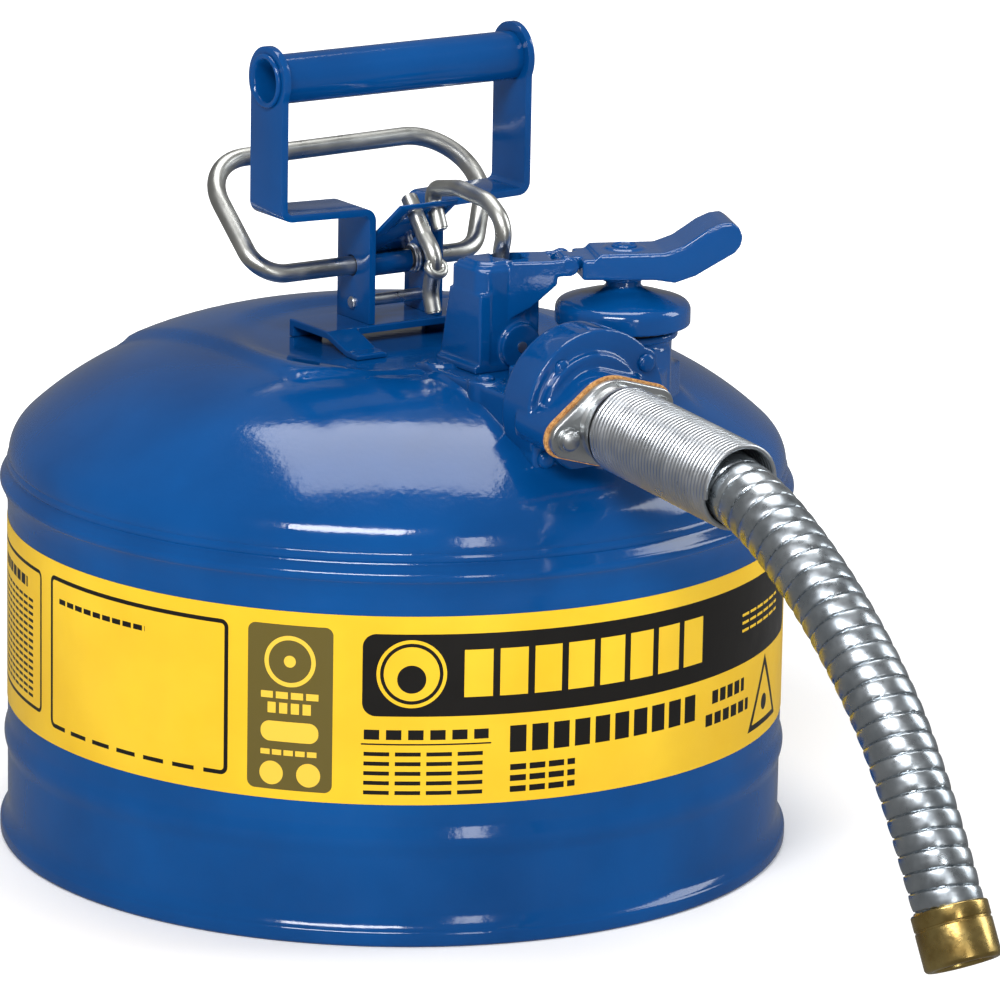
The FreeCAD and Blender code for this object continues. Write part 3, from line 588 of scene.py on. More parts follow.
heading = (route[-1] - route[-2]).normalized()
FERRULE = 13.5
ferrule_profile = ([(10.0, 0.6), (12.2, 0.0)] + arc(FERRULE - 0.9, 0.9, 0.9, -90, 0)
                   + arc(FERRULE - 0.35, 5.2, 0.35, 0, 90, 3) + arc(FERRULE - 0.35, 6.6, 0.35, -90, 0, 3)
                   + arc(FERRULE - 1.6, 18.4, 1.6, 0, 90) + [(11.2, 20.0)]
                   + arc(11.2, 18.9, 1.1, 90, 180, 5)[1:] + [(10.1, 16.0)])
ferrule = lathe("brass_ferrule", ferrule_profile, brass, spin=along(heading, route[-1]), steps=96, smooth=50)
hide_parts("hose_ferrule")

[tuple(p * MM) for p in even(hose_line, 4)]
print("sleeve:", len(sleeve.data.vertices), "ferrule:", len(ferrule.data.vertices))

# %% [markdown]
# ## Can body
# The wall is a rolled sheet. Its lower rim, a small stiffening bead and the seam that locks the top on are
# all round, so one profile on a lathe makes them. The joint line above the seam is a real groove, because
# it reads as black.

# %% Wall with its beads
WALL, BEAD, RIDGE = 146.3, 2.9, 1.3


def bead(height, half, bulge, steps=10):
    """A smooth outward bead: half a cosine wave on the wall."""
    return [(WALL + bulge * 0.5 * (1 + math.cos(math.pi * k / steps)), height + half * k / steps)
            for k in range(-steps, steps + 1)]


wall_profile = (arc(WALL + 1.0, 1.9, 1.9, 180, 360, 10) + arc(WALL + 0.9, 4.6, 2.0, 0, 60, 5)
                + [(WALL + 0.9, 8.4), (WALL + 0.25, 10.2), (WALL, 12.0)]
                + bead(39, 7, RIDGE) + [(WALL, 52.0), (WALL, 90.0), (WALL, 128.0)]
                + [(WALL + 0.2, 131.0), (WALL + 1.1, 133.0)] + arc(WALL + BEAD - 2.6, 137.6, 2.6, -60, 60, 8)
                + [(WALL + 1.0, 141.2), (WALL + 0.1, 141.8), (WALL - 0.2, 142.6), (WALL + 0.3, 143.4),
                   (WALL + 0.25, 144.8), (WALL - 0.4, 146.0), (WALL - 1.0, 146.0), (WALL - 1.0, 4.0)])
wall = lathe("can_wall", wall_profile, blue, steps=256, smooth=45)
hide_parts("body_shell")

pan_profile = [(0, 8.0), (60, 8.0), (62, 8.8), (98, 8.8), (100, 8.0), (140, 8.0), (143.0, 6.5), (144.1, 3.2),
               (144.3, 1.0), (145.2, 1.0), (145.2, 9.0), (100.5, 9.0), (98.5, 9.8), (61.5, 9.8), (59.5, 9.0),
               (0, 9.0)]
pan = lathe("bottom_pan_stamped", pan_profile, blue, steps=192)
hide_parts("bottom_pan")
print("wall profile points:", len(wall_profile))

# %% [markdown]
# ## Pressed top
# The top is a shallow dome with a round shoulder. The press also raised a low platform under the handle and
# the head, with soft edges. The dome is a polar grid, lifted by a mask: a grid takes any such pressing, and
# a lathe can't.

# %% Dome height and the raised platform
SHOULDER, CROWN, TURN, DOME_FOOT = 16.0, 125.0, 47.0, 146
shoulder_x = WALL - 0.3 - SHOULDER
turn_across, turn_up = math.cos(math.radians(TURN)), math.sin(math.radians(TURN))
crown_x, crown_z = shoulder_x - (CROWN - SHOULDER) * turn_across, DOME_FOOT - (CROWN - SHOULDER) * turn_up


def dome_height(radius):
    """The smooth dome: a shoulder arc, then a flatter crown arc that meets it on the same slope."""
    if radius > shoulder_x + SHOULDER * turn_across:
        return DOME_FOOT + math.sqrt(max(SHOULDER ** 2 - (radius - shoulder_x) ** 2, 0.0))
    if radius > crown_x:
        return crown_z + math.sqrt(CROWN ** 2 - (radius - crown_x) ** 2)
    return crown_z + CROWN


def ease(value, low, high):
    """0 below one value, 1 above the other and a soft curve between them."""
    share = min(max((value - low) / (high - low), 0.0), 1.0)
    return share * share * (3 - 2 * share)


def platform(x, y):
    """0 to 1: the raised panel under the handle, and the tongue that runs forwards under the head."""
    panel = ease(93 - y, 0, 5) * ease(70 - abs(x), 0, 6) * ease(y + 38 + (68 - abs(x)) * 0.4, 0, 8)
    tongue = ease(x + 30 + y * 0.07, 0, 6) * ease(74 - x, 0, 6) * ease(y + 118, 0, 8) * ease(-20 - y, -10, 0)
    return max(panel, tongue)


def foot_plan(grow=0):
    """The casting's foot from above; a negative growth draws it smaller."""
    return [(-22 - grow, -44 + grow), (-22 - grow, -108 - grow), (40 + grow, -108 - grow),
            (66 + grow, -89 - grow), (66 + grow, -58 + grow), (54 + grow, -44 + grow)]


def inside(x, y, outline):
    """Whether a point lies in an outline: a line from it crosses the outline an odd number of times."""
    crossings = 0
    for (ax, ay), (bx, by) in zip(outline, outline[1:] + outline[:1]):
        if (ay > y) != (by > y) and x < ax + (y - ay) * (bx - ax) / (by - ay):
            crossings += 1
    return crossings % 2 == 1


# %% Dome mesh
RAISED = 2.2


def dome_point(x, y, radius, depth):
    """A point of the pressed sheet; the depth is 0 on its outside and the sheet's thickness inside."""
    lift = RAISED * platform(x, y) * ease(122 - radius, 0, 14)
    height = dome_height(radius) - depth + lift - RAISED * ease(60 - radius, -6, 6)
    return (x * (1 - depth / 200), y * (1 - depth / 200), height)


def dome_skin(bm, rings, hub):
    """One side of the sheet, with a hole where the casting's foot covers it."""
    for k in range(len(rings[0])):
        bm.faces.new((hub, rings[0][k], rings[0][(k + 1) % len(rings[0])]))
    for first, second in zip(rings, rings[1:]):
        for k in range(len(first)):
            after = (k + 1) % len(first)
            corners = (first[k], first[after], second[after], second[k])
            middle = sum((corner.co for corner in corners), Vector()) / 4
            if not inside(middle.x, middle.y, foot_plan(-4)):
                bm.faces.new(corners)


def make_dome(steps=256):
    """The outside and the inside of the pressed sheet, joined at the rim."""
    bm, sheet = bmesh.new(), []
    radii = ([4 + 2.4 * k for k in range(58)]
             + [shoulder_x + SHOULDER * math.cos(math.radians(TURN * (1 - k / 10))) for k in range(1, 11)])
    for depth in (0.0, 1.0):
        rings = [[bm.verts.new(dome_point(x, y, radius, depth)) for x, y in circle(radius, steps)]
                 for radius in radii]
        hub = bm.verts.new((0, 0, dome_height(0) - depth + RAISED * platform(0, 0) - RAISED))
        dome_skin(bm, rings, hub)
        sheet.append(rings)
    skin(bm, sheet[0][-1], sheet[1][-1])
    return make_object("pressed_top", bm, blue, smooth=60)


dome = make_dome()
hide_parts("top_dome")
print("dome faces:", len(dome.data.polygons))

# %% [markdown]
# ## Printed band
# The band is a thin film round the wall. Its print is worked out from the angle round the can and the
# height, so it needs no image: boxes, rules, plain blocks where lines of print would be, rings, dots and a
# triangle. It says nothing.


# %% Print finish
class Print(Finish):
    """Masks on the wall, in degrees round it and millimetres up it; the front, -Y, is angle zero."""

    def __init__(self, name, **constants):
        super().__init__(name, **constants)
        x, y, z = self.axes()
        self.angle = x.math("ARCTAN2", y * -1) * (180 / math.pi)
        self.height = z * 1000

    def outside(self, low, high, radius):
        """Distance outside a rounded box, in millimetres."""
        per_degree = math.radians(WALL)
        middle_a, middle_z = (low[0] + high[0]) / 2, (low[1] + high[1]) / 2
        half_a, half_z = (high[0] - low[0]) / 2 * per_degree - radius, (high[1] - low[1]) / 2 - radius
        gap_a = (abs((self.angle - middle_a) * per_degree) - half_a) | 0.0
        gap_z = (abs(self.height - middle_z) - half_z) | 0.0
        return (gap_a * gap_a + gap_z * gap_z).math("SQRT") - radius

    def block(self, low, high, radius=0.2):
        return self.outside(low, high, radius) < 0.0

    def frame(self, low, high, stroke, radius=3.0):
        edge = self.outside(low, high, radius)
        return (edge < 0.0) * (edge > -stroke)

    def words(self, low, high, pitch, share):
        """A row of plain blocks, as wide as words or letters would be."""
        beat = ((self.angle - low[0]) / pitch).math("FRACT") < share
        return self.block(low, high) * beat

    def lines(self, low, high, pitch, share, beat):
        """Rows of short dashes, one under another."""
        rows = ((self.height - low[1]) / pitch).math("FRACT") < share
        dashes = ((self.angle - low[0]) / beat).math("FRACT") < 0.82
        return self.block(low, high) * rows * dashes

    def circle(self, angle, height, radius, stroke=None):
        across = (self.angle - angle) * math.radians(WALL)
        up = self.height - height
        reach = (across * across + up * up).math("SQRT")
        mask = reach < radius
        return mask * (reach > radius - stroke) if stroke else mask

    def triangle(self, angle, low, high, half):
        """An upright triangle as a distance inside it, in millimetres."""
        across = abs(self.angle - angle) * math.radians(WALL)
        slope = math.hypot(high - low, half)
        side = ((high - self.height) * half - across * (high - low)) / slope
        return side.math("MINIMUM", self.height - low)


# %% What the print shows
def any_of(first, *others):
    """One mask that is on wherever any of these is."""
    for other in others:
        first = first | other
    return first


def side_boxes(paper):
    """Two ruled boxes on the left. Gaps break the lower edge of the wider one."""
    ink = any_of(paper.frame((-92.5, 59.5), (-57.0, 117.5), 1.6),
                 paper.frame((-122, 62), (-95.5, 116.5), 1.4),
                 paper.lines((-119, 66), (-98.5, 104), 2.6, 0.45, 2.3),
                 paper.words((-116, 107), (-101, 111), 2.4, 0.8),
                 paper.words((-90, 107.6), (-71, 109.6), 2.1, 0.8))
    gaps = paper.block((-90, 55), (-60, 62.6)) * ((paper.angle / 5.2).math("FRACT") < 0.3)
    return ink * (1 - gaps)


def small_marks(paper):
    """Blocks and dashes under the banner, and a plain triangle at its right."""
    edge = paper.triangle(36.5, 57.5, 84.5, 16)
    return any_of(paper.words((-16.5, 71.5), (15.5, 81.5), 3.3, 0.74),
                  paper.lines((-37.2, 56.8), (-19.6, 74.5), 3.6, 0.42, 4.4),
                  paper.block((-37.6, 75.3), (-19.2, 75.9)),
                  paper.words((-37.2, 77.3), (-19.6, 81.0), 3.1, 0.7),
                  paper.lines((-16.4, 56.6), (-6.5, 68.4), 4.1, 0.55, 2.9),
                  paper.words((19.5, 75.5), (28.5, 80.5), 2.0, 0.75),
                  paper.words((18.0, 67.5), (30.0, 72.0), 2.2, 0.75),
                  (edge > 0.0) * (edge < 2.2), paper.circle(36.5, 66.0, 3.1))


def banner_marks(paper):
    """What is left yellow on the black banner: a ring with a ball in it, blocks and dashes."""
    ring = paper.circle(-30.6, 101.8, 12.6) * (1 - paper.circle(-30.6, 101.8, 11.3))
    ball = paper.circle(-30.6, 101.8, 10.0) * (1 - paper.circle(-30.6, 99.8, 5.2))
    return any_of(paper.words((-23.2, 93.0), (17.8, 110.5), 5.13, 0.80),
                  paper.lines((27.5, 98), (42, 106), 3.0, 0.35, 2.6), ring, ball)


def panel_signs(paper):
    """Rings, blocks and dots on the grey panel."""
    return any_of(paper.circle(-47.8, 104.5, 9.5, 1.6), paper.circle(-47.8, 104.5, 2.2),
                  paper.words((-52, 90.5), (-43.6, 93.0), 2.2, 0.8),
                  paper.words((-51, 85.0), (-44.6, 89.0), 1.7, 0.7),
                  paper.block((-52.0, 74.5), (-43.6, 82.0), 3.5),
                  paper.words((-52, 69.4), (-43.6, 71.4), 1.7, 0.8),
                  paper.circle(-50.4, 62.6, 4.4), paper.circle(-45.0, 62.6, 4.4))


def make_print():
    paper = Print("printed_band", metallic=0.0, coat_weight=0.05, coat_roughness=0.10, ior=1.35)
    black, grey = colour(24, 22, 20), colour(96, 84, 36)
    yellow = paper.mix(paper.ramp(paper.noise(22, 4), 0.35, 0.7), colour(228, 182, 28), colour(238, 196, 38))
    banner = paper.block((-37.5, 86), (49.5, 116.5), 5.0)
    panel = paper.block((-54.0, 56.5), (-41.6, 118.0), 3.0)
    sheet = paper.mix(any_of(side_boxes(paper), banner, small_marks(paper)), yellow, black)
    sheet = paper.mix(banner_marks(paper) * banner, sheet, yellow)
    sheet = paper.mix(panel, sheet, grey)
    sheet = paper.mix(panel_signs(paper) * panel, sheet, colour(232, 190, 60))
    paper.drive(base_color=sheet, roughness=paper.ramp(paper.noise(80, 4), 0.3, 0.7, 0.28, 0.40))
    paper.bump(paper.noise(500, 2), 0.05, 0.0004)
    return paper.material


band = lathe("printed_band", [(WALL, 53.0), (WALL + 0.16, 53.0), (WALL + 0.2, 53.3), (WALL + 0.2, 122.7),
                              (WALL + 0.16, 123.0), (WALL, 123.0)], make_print(), steps=256)
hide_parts("label_band")
print("print nodes:", len(band.data.materials[0].node_tree.nodes))

# %% [markdown]
# ## Carrying handle
# Each half of the handle is one steel strap, bent twice, with a round ear that grips the tube. A strap is a
# flat section carried along a rounded path, so every bend has the real radius on both faces.

# %% Straps
STRAP, STRAP_WIDE, STRAP_Y, EAR_Z, EAR_R = 2.7, 22.2, 7.0, 292.2, 12.7


def strap_half_width(point):
    """Half the strap's width: constant below, and following the round ear at the top."""
    above = point.z - EAR_Z
    waist = STRAP_WIDE / 2
    if above < -7:
        return waist
    round_ear = math.sqrt(max(EAR_R ** 2 - above ** 2, 0.02))
    return round_ear if above > 0 else max(waist, round_ear)


def strap_line(side):
    """The middle of one strap, with its points close together round the ear."""
    outer, upright = side * (55.0 - STRAP / 2), side * (16.3 - STRAP / 2)
    line = rounded([(upright, 0, 198.3), (upright, 0, 240.9), (outer, 0, 242.0), (outer, 0, EAR_Z)],
                   [0, 3.7, 3.7, 0], turn_step=9)[:-1]
    return line + [Vector((outer, 0, EAR_Z - EAR_R * math.cos(math.radians(a)))) for a in range(8, 180, 6)]


def make_strap(name, side, node):
    half, line = STRAP / 2, strap_line(side)
    bm, rings = bmesh.new(), []
    for i, point in enumerate(line):
        heading = (line[min(i + 1, len(line) - 1)] - line[max(i - 1, 0)]).normalized()
        normal = heading.cross(Y).normalized() * half
        width = strap_half_width(point)
        corners = [point + normal, point - normal]
        rings.append([bm.verts.new(c + Vector((0, STRAP_Y + w, 0))) for c, w in (
            (corners[0], -width), (corners[0], width), (corners[1], width), (corners[1], -width))])
    for first, second in zip(rings, rings[1:]):
        skin(bm, first, second)
    bm.faces.new(rings[0][::-1])
    bm.faces.new(rings[-1])
    strap = make_object(name, bm, blue)
    bore = Clay().disc(9.25, -80, 80, along(X, (0, STRAP_Y, EAR_Z))).done("bore", blue)
    bar = Clay().disc(4.0, -80, 80, along(X, (0, 8.5, 218.5)), 48).done("bar_hole", blue)
    drill(strap, bore, bar)
    soften(strap, 0.45, 3, 50)
    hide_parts(node)
    return strap


for side, word in ((-1, "left"), (1, "right")):
    strap = make_strap(f"handle_strap_{word}_bent", side, f"handle_strap_{word}")
    print(strap.name, "vertices:", len(strap.data.vertices))


# %% Grip tube with rolled ends
def grip_profile():
    """The tube's wall, with both ends rolled outwards; the outline closes along its outside."""
    right = [(9.2, 53.4)] + [(9.2, 54.6)] + arc(9.1, 55.6, 1.05, -60, 80, 8) + [(8.3, 56.25), (7.75, 55.2)]
    left = [(radius, -height) for radius, height in reversed(right)]
    return right + [(7.7, 30), (7.7, 0), (7.7, -30)] + left


grip_place = along(X, (0, STRAP_Y, EAR_Z))
grip = lathe("grip_tube_rolled", grip_profile(), blue, spin=grip_place, steps=72, smooth=50)
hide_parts("grip_tube")

pin_profile = [(0, -17.5), (1.9, -17.5), (2.3, -17.1), (2.3, 17.1), (1.9, 17.5), (0, 17.5)]
tie_pin = lathe("tie_pin_headed", pin_profile, zinc, spin=along(X, (0, STRAP_Y, 204.6)), steps=32)
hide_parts("upright_tie_pin")
print("grip vertices:", len(grip.data.vertices))


# %% Bridge under the handle
ALONG_X = Matrix(((0, 0, 1, 0), (1, 0, 0, 0), (0, 1, 0, 0), (0, 0, 0, 1)))    # outline in Y and Z, depth in X


def make_bridge():
    plate = Clay().box((-36, -6, 195.5), (36, 20, 198.2))
    for side in (-1, 1):
        centre = side * 29.5
        fold = [(-6, 198.2), (-20, 193.6), (-27, 193.4), (-27, 191.4), (-19, 191.4), (-5.4, 195.6)]
        plate.prism(fold, centre - 6.5, centre + 6.5, ALONG_X)
        plate.box((centre - 6.5, 17.3, 191.3), (centre + 6.5, 20, 197))
    bridge = plate.cast("handle_bridge_stamped", blue, voxel=0.5, rounds=3)
    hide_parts("handle_bridge")
    return bridge


print("bridge vertices:", len(make_bridge().data.vertices))

# %% [markdown]
# ## Trigger and hooks
# A closed loop of thick plated wire swings on its own straight side, which runs through both uprights. A
# plate rolled round that side pulls two bent hooks. Wire is best drawn as a circle carried along straight
# runs and true arcs.

# %% Wire loop
PIVOT = Vector((0, 8.5, 218.5))
PUSH_X, TAIL_X = 6.5, -2.5
LEAN = Vector((0, math.sin(math.radians(50)), math.cos(math.radians(50))))
loop_corners = [PIVOT + X * x + LEAN * s for x, s in ((-56.5, 0), (-57, 55), (56.5, 57), (56, 27), (38.5, 0))]
loop_line = rounded(loop_corners, [12, 20, 22, 16, 15], closed=True)
loop = bent_wire("trigger_wire_loop", loop_line, 3.5, wire_metal, "trigger", closed=True, sides=32)
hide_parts("trigger_loop")


# %% Rolled plate and torsion spring
def rolled_plate():
    """The plate's edge-on outline: three quarters of a roll, then a flat run up and forwards."""
    slope = math.radians(38)
    run, up = Vector((-math.cos(slope), math.sin(slope))), Vector((math.sin(slope), math.cos(slope)))
    pivot = Vector((PIVOT.y, PIVOT.z))
    start = math.degrees(math.atan2(up.y, up.x))
    outer = arc(pivot.x, pivot.y, 5.1, start - 285, start, 24)
    inner = arc(pivot.x, pivot.y, 3.55, start, start - 285, 24)
    reach = 38.8
    tip = [pivot + up * height + run * along_run for height, along_run in
           ((5.1, reach - 1.5), (4.6, reach), (4.0, reach), (3.5, reach - 1.5))]
    return outer + [tuple(point) for point in tip] + inner


plate = Clay().prism(rolled_plate(), -12.5, 12.5, ALONG_X).done("trigger_plate_rolled", blue, "trigger")
notch = Clay().box((8, 2.5, 211.5), (16, 15.5, 232.5)).done("notch", blue)
holes = [Clay().box((x - 3.5, -17.4, 233.6), (x + 3.5, -8.4, 249.6)).done("hook_hole", blue)
         for x in (PUSH_X, TAIL_X)]
soften(drill(plate, notch, *holes), 0.35, 2, 40)
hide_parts("trigger_plate")

spring_line = helix(4.7, 1.5, 8.5, 13.1, along(X, PIVOT), 32)
spring = bent_wire("trigger_torsion_spring", spring_line, 0.75, zinc, sides=12)
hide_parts("trigger_spring")
print("plate vertices:", len(plate.data.vertices))

# %% Hooks
HOLE = Vector((0, -12.9, 241.6))


def hook_points(x, spots):
    """Points on one side plane, measured from the middle of the plate's holes."""
    return [Vector((x, HOLE.y + y, HOLE.z + z)) for y, z in spots]


push_line = rounded(hook_points(PUSH_X, ((-3.9, -7.3), (3.3, 7.2), (-16, 10.9), (-36, 9.5), (-47.6, 2.5),
                                         (-44.6, -7.1), (-44.6, -15.1))), [0, 4.5, 16, 14, 9, 8, 0])
push = bent_wire("push_hook_wire", push_line, 3.1, wire_metal, "link", sides=32)
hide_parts("push_hook")

tail_line = rounded(hook_points(TAIL_X, ((4.2, 4.9), (-7.2, -8.2), (-15.5, -15), (-12.6, -23), (-11.5, -29),
                                         (-14, -36))), [0, 8, 9, 12, 10, 0])
tail = bent_wire("tail_hook_wire", tail_line, 3.1, wire_metal, "link", sides=32)
eye_line = [Vector((TAIL_X + 3.3 * x, HOLE.y - 15.2 + 1.6 * y, HOLE.z - 18.6 + 2.3 * y))
            for x, y in circle(1, 40)]
eye = bent_wire("tail_hook_crimp", eye_line, 1.7, wire_metal, "link", closed=True, sides=16)
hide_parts("tail_hook")
print("hooks:", len(push_line), len(tail_line), "points")

# %% [markdown]
# ## The cast head
# Foot, fill neck, round flange and two-eared port are one casting under thick paint. Separate solids would
# meet in hard corners, so they are gathered as clay and fused: the smoothing leaves the small fillets that
# a mould leaves.

# %% Two-eared port outline
LID = Vector((45, -81, 0))
LID_AXIS, ROD_AXIS = Matrix.Translation(LID), Matrix.Translation((6.5, -60.5, 0))
EAR_TURN, EAR_REACH, PORT_ROUND, EAR_LOBE = 11.0, 19.5, 16.0, 7.0


def ear_outline(grow=0.0):
    """A round middle with two lobes, joined by the straight lines that touch both."""
    big, lobe = PORT_ROUND + grow, EAR_LOBE + grow
    slant = math.degrees(math.acos((big - lobe) / EAR_REACH))
    return (arc(EAR_REACH, 0, lobe, -slant, slant, 12) + arc(0, 0, big, slant, 180 - slant, 14)
            + arc(-EAR_REACH, 0, lobe, 180 - slant, 180 + slant, 12)
            + arc(0, 0, big, 180 + slant, 360 - slant, 14))


ear_place = port_place @ Matrix.Rotation(math.radians(EAR_TURN), 4, "Z")


# %% Casting
FOOT_SCREWS = ((-17, -84), (60, -64), (20, -100), (36, -49))
DRUM_SCREWS = ((-10.5, 205.5), (26, 203.5), (-17, 173))
DRUM_BACK, DRUM_FACE = -106, -123.5


def make_head():
    head = Clay().prism(foot_plan(), 176, 193)
    # Fill neck with its rim, then the drum with its screw bosses, and the port's ears
    head.disc(18.3, 168, 206, LID_AXIS).disc(20.5, 203.2, 206, LID_AXIS)
    head.disc(29.8, 0, 17.3, along(-Y, (5, DRUM_BACK, PORT.z)))
    head.disc(22.0, 16, 21.0, along(-Y, (1.5, DRUM_BACK, PORT.z)))
    for x, z in DRUM_SCREWS:
        head.disc(5.4, 8, 17.4, along(-Y, (x, DRUM_BACK, z)))
    head.prism(ear_outline(), -20, 0, ear_place)
    # Webs between drum and neck, the swellings under the foot, and the foot's screw bosses
    head.prism([(-14, -106), (36, -108), (50, -98), (50, -84), (4, -84), (-14, -94)], 178, 201)
    head.prism([(24, -110), (56, -97), (60, -80), (24, -84)], 176, 200)
    head.disc(13, 0, 62, along(-Y, (3, -46, 176))).disc(13, 160, 180, ROD_AXIS)
    head.disc(6, 166, 181, Matrix.Translation((56, -56, 0)))
    for x, y in (*FOOT_SCREWS[:2], FOOT_SCREWS[3], (-15, -52)):
        head.disc(6.5, 180, 194.2, Matrix.Translation((x, y, 0)))
    cast = head.cast("cast_head", cast_blue, voxel=0.7, rounds=9)
    neck = Clay().disc(15.4, 150, 230, LID_AXIS, 72).done("neck_bore", cast_blue)
    port = Clay().disc(10.5, -34, 3, port_place, 64).done("port_bore", cast_blue)
    guide = Clay().disc(5.0, 178, 230, ROD_AXIS, 40).done("rod_guide", cast_blue)
    drill(cast, neck, port, guide, smooth=70)
    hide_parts("manifold_body")
    return cast


head = make_head()
print("casting faces:", len(head.data.polygons))


# %% Screws
def screw_profile(radius, height, shank, depth):
    """A domed head with a plain shank under it."""
    dome = [(radius * math.sin(math.radians(a)), height * (0.35 + 0.65 * math.cos(math.radians(a))))
            for a in range(0, 91, 15)]
    return dome + [(radius, 0), (shank, 0), (shank, -depth), (0, -depth)]


def screws(name, places, radius, height, shank, depth, finish, cross):
    """Round-headed screws, each at a place matrix with its head outwards, with a cross recess."""
    joined, slit = Clay(), 0.55
    for place in places:
        screw = lathe("one_screw", screw_profile(radius, height, shank, depth), finish, steps=40)
        arms = Clay().box((-cross, -slit, height * 0.55), (cross, slit, height + 1))
        arms.box((-slit, -cross, height * 0.55), (slit, cross, height + 1))
        drill(screw, arms.done("recess", finish))
        joined.take(screw, place)
    return joined.done(name, finish)


foot_places = [Matrix.Translation((x, y, 193.7)) for x, y in FOOT_SCREWS]
face_places = [along(-Y, (x, DRUM_FACE, z)) for x, z in DRUM_SCREWS]
foot_screws = screws("foot_screws_domed", foot_places + face_places, 3.4, 2.2, 1.9, 11, blue, 1.5)
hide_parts("manifold_screws")

GASKET_TOP, FLANGE_TOP, WASHER = 1.6, 4.6, 1.0
washer_spots = [ear_place @ Matrix.Translation((side * EAR_REACH, 0, FLANGE_TOP)) for side in (-1, 1)]
ear_spots = [spot @ Matrix.Translation((0, 0, WASHER)) for spot in washer_spots]
ear_screws = screws("flange_screws_panhead", ear_spots, 3.7, 2.8, 2.0, 12, zinc, 2.2)
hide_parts("flange_screws")

washers = Clay()
washer_profile = [(2.2, 0), (4.5, 0), (4.6, 0.15), (4.6, 0.85), (4.5, WASHER), (2.2, WASHER)]
for spot in washer_spots:
    ring = lathe("one_washer", washer_profile, zinc, steps=48)
    drill(ring, Clay().box((0, -0.45, -1), (6, 0.45, 2), Matrix.Rotation(0.6, 4, "Z")).done("slit", zinc))
    washers.take(ring, spot)
washers = washers.done("spring_washers", zinc)
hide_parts("lock_washers")
print("screws:", len(foot_screws.data.vertices), len(ear_screws.data.vertices))


# %% Gasket and hose flange
def plate_with_bore(name, outline, low, high, bore, finish, width):
    """A flat plate on the port, with one round hole and edges softened by a width."""
    plate = Clay().prism(outline, low, high, ear_place).done(name, finish)
    drill(plate, Clay().disc(bore, low - 5, high + 5, port_place, 64).done("bore", finish))
    return soften(plate, width, 3, 45)


gasket = plate_with_bore("port_gasket_cut", ear_outline(0.8), 0.0, GASKET_TOP, 10.5, cork, 0.3)
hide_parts("port_gasket")
flange = plate_with_bore("hose_flange_plate", ear_outline(), GASKET_TOP, FLANGE_TOP, 10.2, zinc, 0.6)
collar_profile = [(10.2, 4.0), (14.6, 4.0), (14.2, 5.0), (13.6, 6.0), (14.4, 8.2), (15.4, 9.8), (15.6, 11.3),
                  (10.2, 11.3)]
collar = lathe("hose_collar", collar_profile, zinc, spin=port_place, steps=96)
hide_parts("hose_flange")
print("flange vertices:", len(flange.data.vertices))

# %% [markdown]
# ## Lever bracket and lid
# A fixed bracket takes the push hook's leg and carries a slanting arm. The lid's lever hinges across its
# end, and the thumb pushes its tab down to lift the lid. Both are stamped or cast and then painted: clay
# again, more finely fused.

# %% The lever's own frame
LEVER = LID_AXIS @ Matrix.Rotation(math.radians(-23), 4, "Z")
ALONG_LEVER = LEVER @ Matrix(((1, 0, 0, 0), (0, 0, -1, 0), (0, 1, 0, 0), (0, 0, 0, 1)))
HINGE_X, HINGE_Z = -22.0, 231.0


def across_lever(x, z):
    """A place matrix on the lever whose +Z runs across it."""
    return ALONG_LEVER @ Matrix.Translation((x, z, 0))


# %% Bracket
LUG_X, LUG_Z = 5.4, 201.6


def block_plan(inset):
    """The block from above, with round corners, drawn smaller all round by the inset."""
    left, right, front, back = -11.6 + inset, 13.8 - inset, -71.8 + inset, -51.2 - inset
    corners = [(left, front, 0), (right, front, 0), (right, back, 0), (left, back, 0)]
    return [(spot.x, spot.y) for spot in rounded(corners, [5, 5, 3, 3], closed=True)]


def make_bracket():
    clay = Clay()
    for inset, top in ((0.0, 230.8), (1.2, 232.4), (3.0, 233.3)):
        clay.prism(block_plan(inset), 208, top)
    # Two cheeks, the base plate, the front wall and the lug on it
    for x in (-11.8, 9.5):
        clay.prism([(-72, 193), (-45.5, 193), (-45.5, 196), (-51, 222), (-72, 222)], x, x + 4.5, ALONG_X)
    clay.box((-13.8, -72, 193), (16, -46, 195.8))
    clay.box((-11, -71.6, 193), (13.2, -69.0, 210))
    clay.disc(8.5, 0, 6, along(-Y, (LUG_X, -68.1, LUG_Z)))
    # The slanting arm, with an ear at each side of the lever's hinge
    arm = [(-44, 212), (-36, 216), (-26.3, 224.5), (-26.3, 231.5), (-28, 233.3), (-44, 233.3)]
    clay.prism(arm, -9, 9, ALONG_LEVER)
    for y in (-9, 6):
        clay.disc(3.6, -y - 3, -y, across_lever(HINGE_X, HINGE_Z), 48)
        clay.box((-27.5, y, 227.4), (HINGE_X, y + 3, 233.5), LEVER)
    bracket = clay.cast("lever_bracket_cast", cast_blue, voxel=0.5, rounds=9)
    slot = Clay().box((2.7, -69, 200), (10.3, -53, 260)).done("slot", blue)
    well = Clay().disc(5.8, 188, 260, ROD_AXIS, 48).done("well", blue)
    hole = Clay().disc(2.0, -20, 3, along(-Y, (LUG_X, -71, LUG_Z)), 32).done("lug_hole", blue)
    drill(bracket, slot, well, hole, smooth=70)
    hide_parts("lever_bracket")
    return bracket


bracket = make_bracket()
lug_pin = lathe("bracket_pin_end", [(0, 0), (1.6, 0), (2.0, 0.4), (2.0, 5.8), (0, 5.8)], zinc,
                spin=along(-Y, (LUG_X, -68.7, LUG_Z)), steps=32)
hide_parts("bracket_pin")
hinge_profile = [(0, -9.6), (1.9, -9.5), (1.6, -9.0), (1.6, 9.0), (1.9, 9.5), (0, 9.6)]
hinge_pin = lathe("hinge_pin_peened", hinge_profile, blue, spin=across_lever(HINGE_X, HINGE_Z), steps=32)
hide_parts("lid_hinge_pin")
print("bracket faces:", len(bracket.data.polygons))


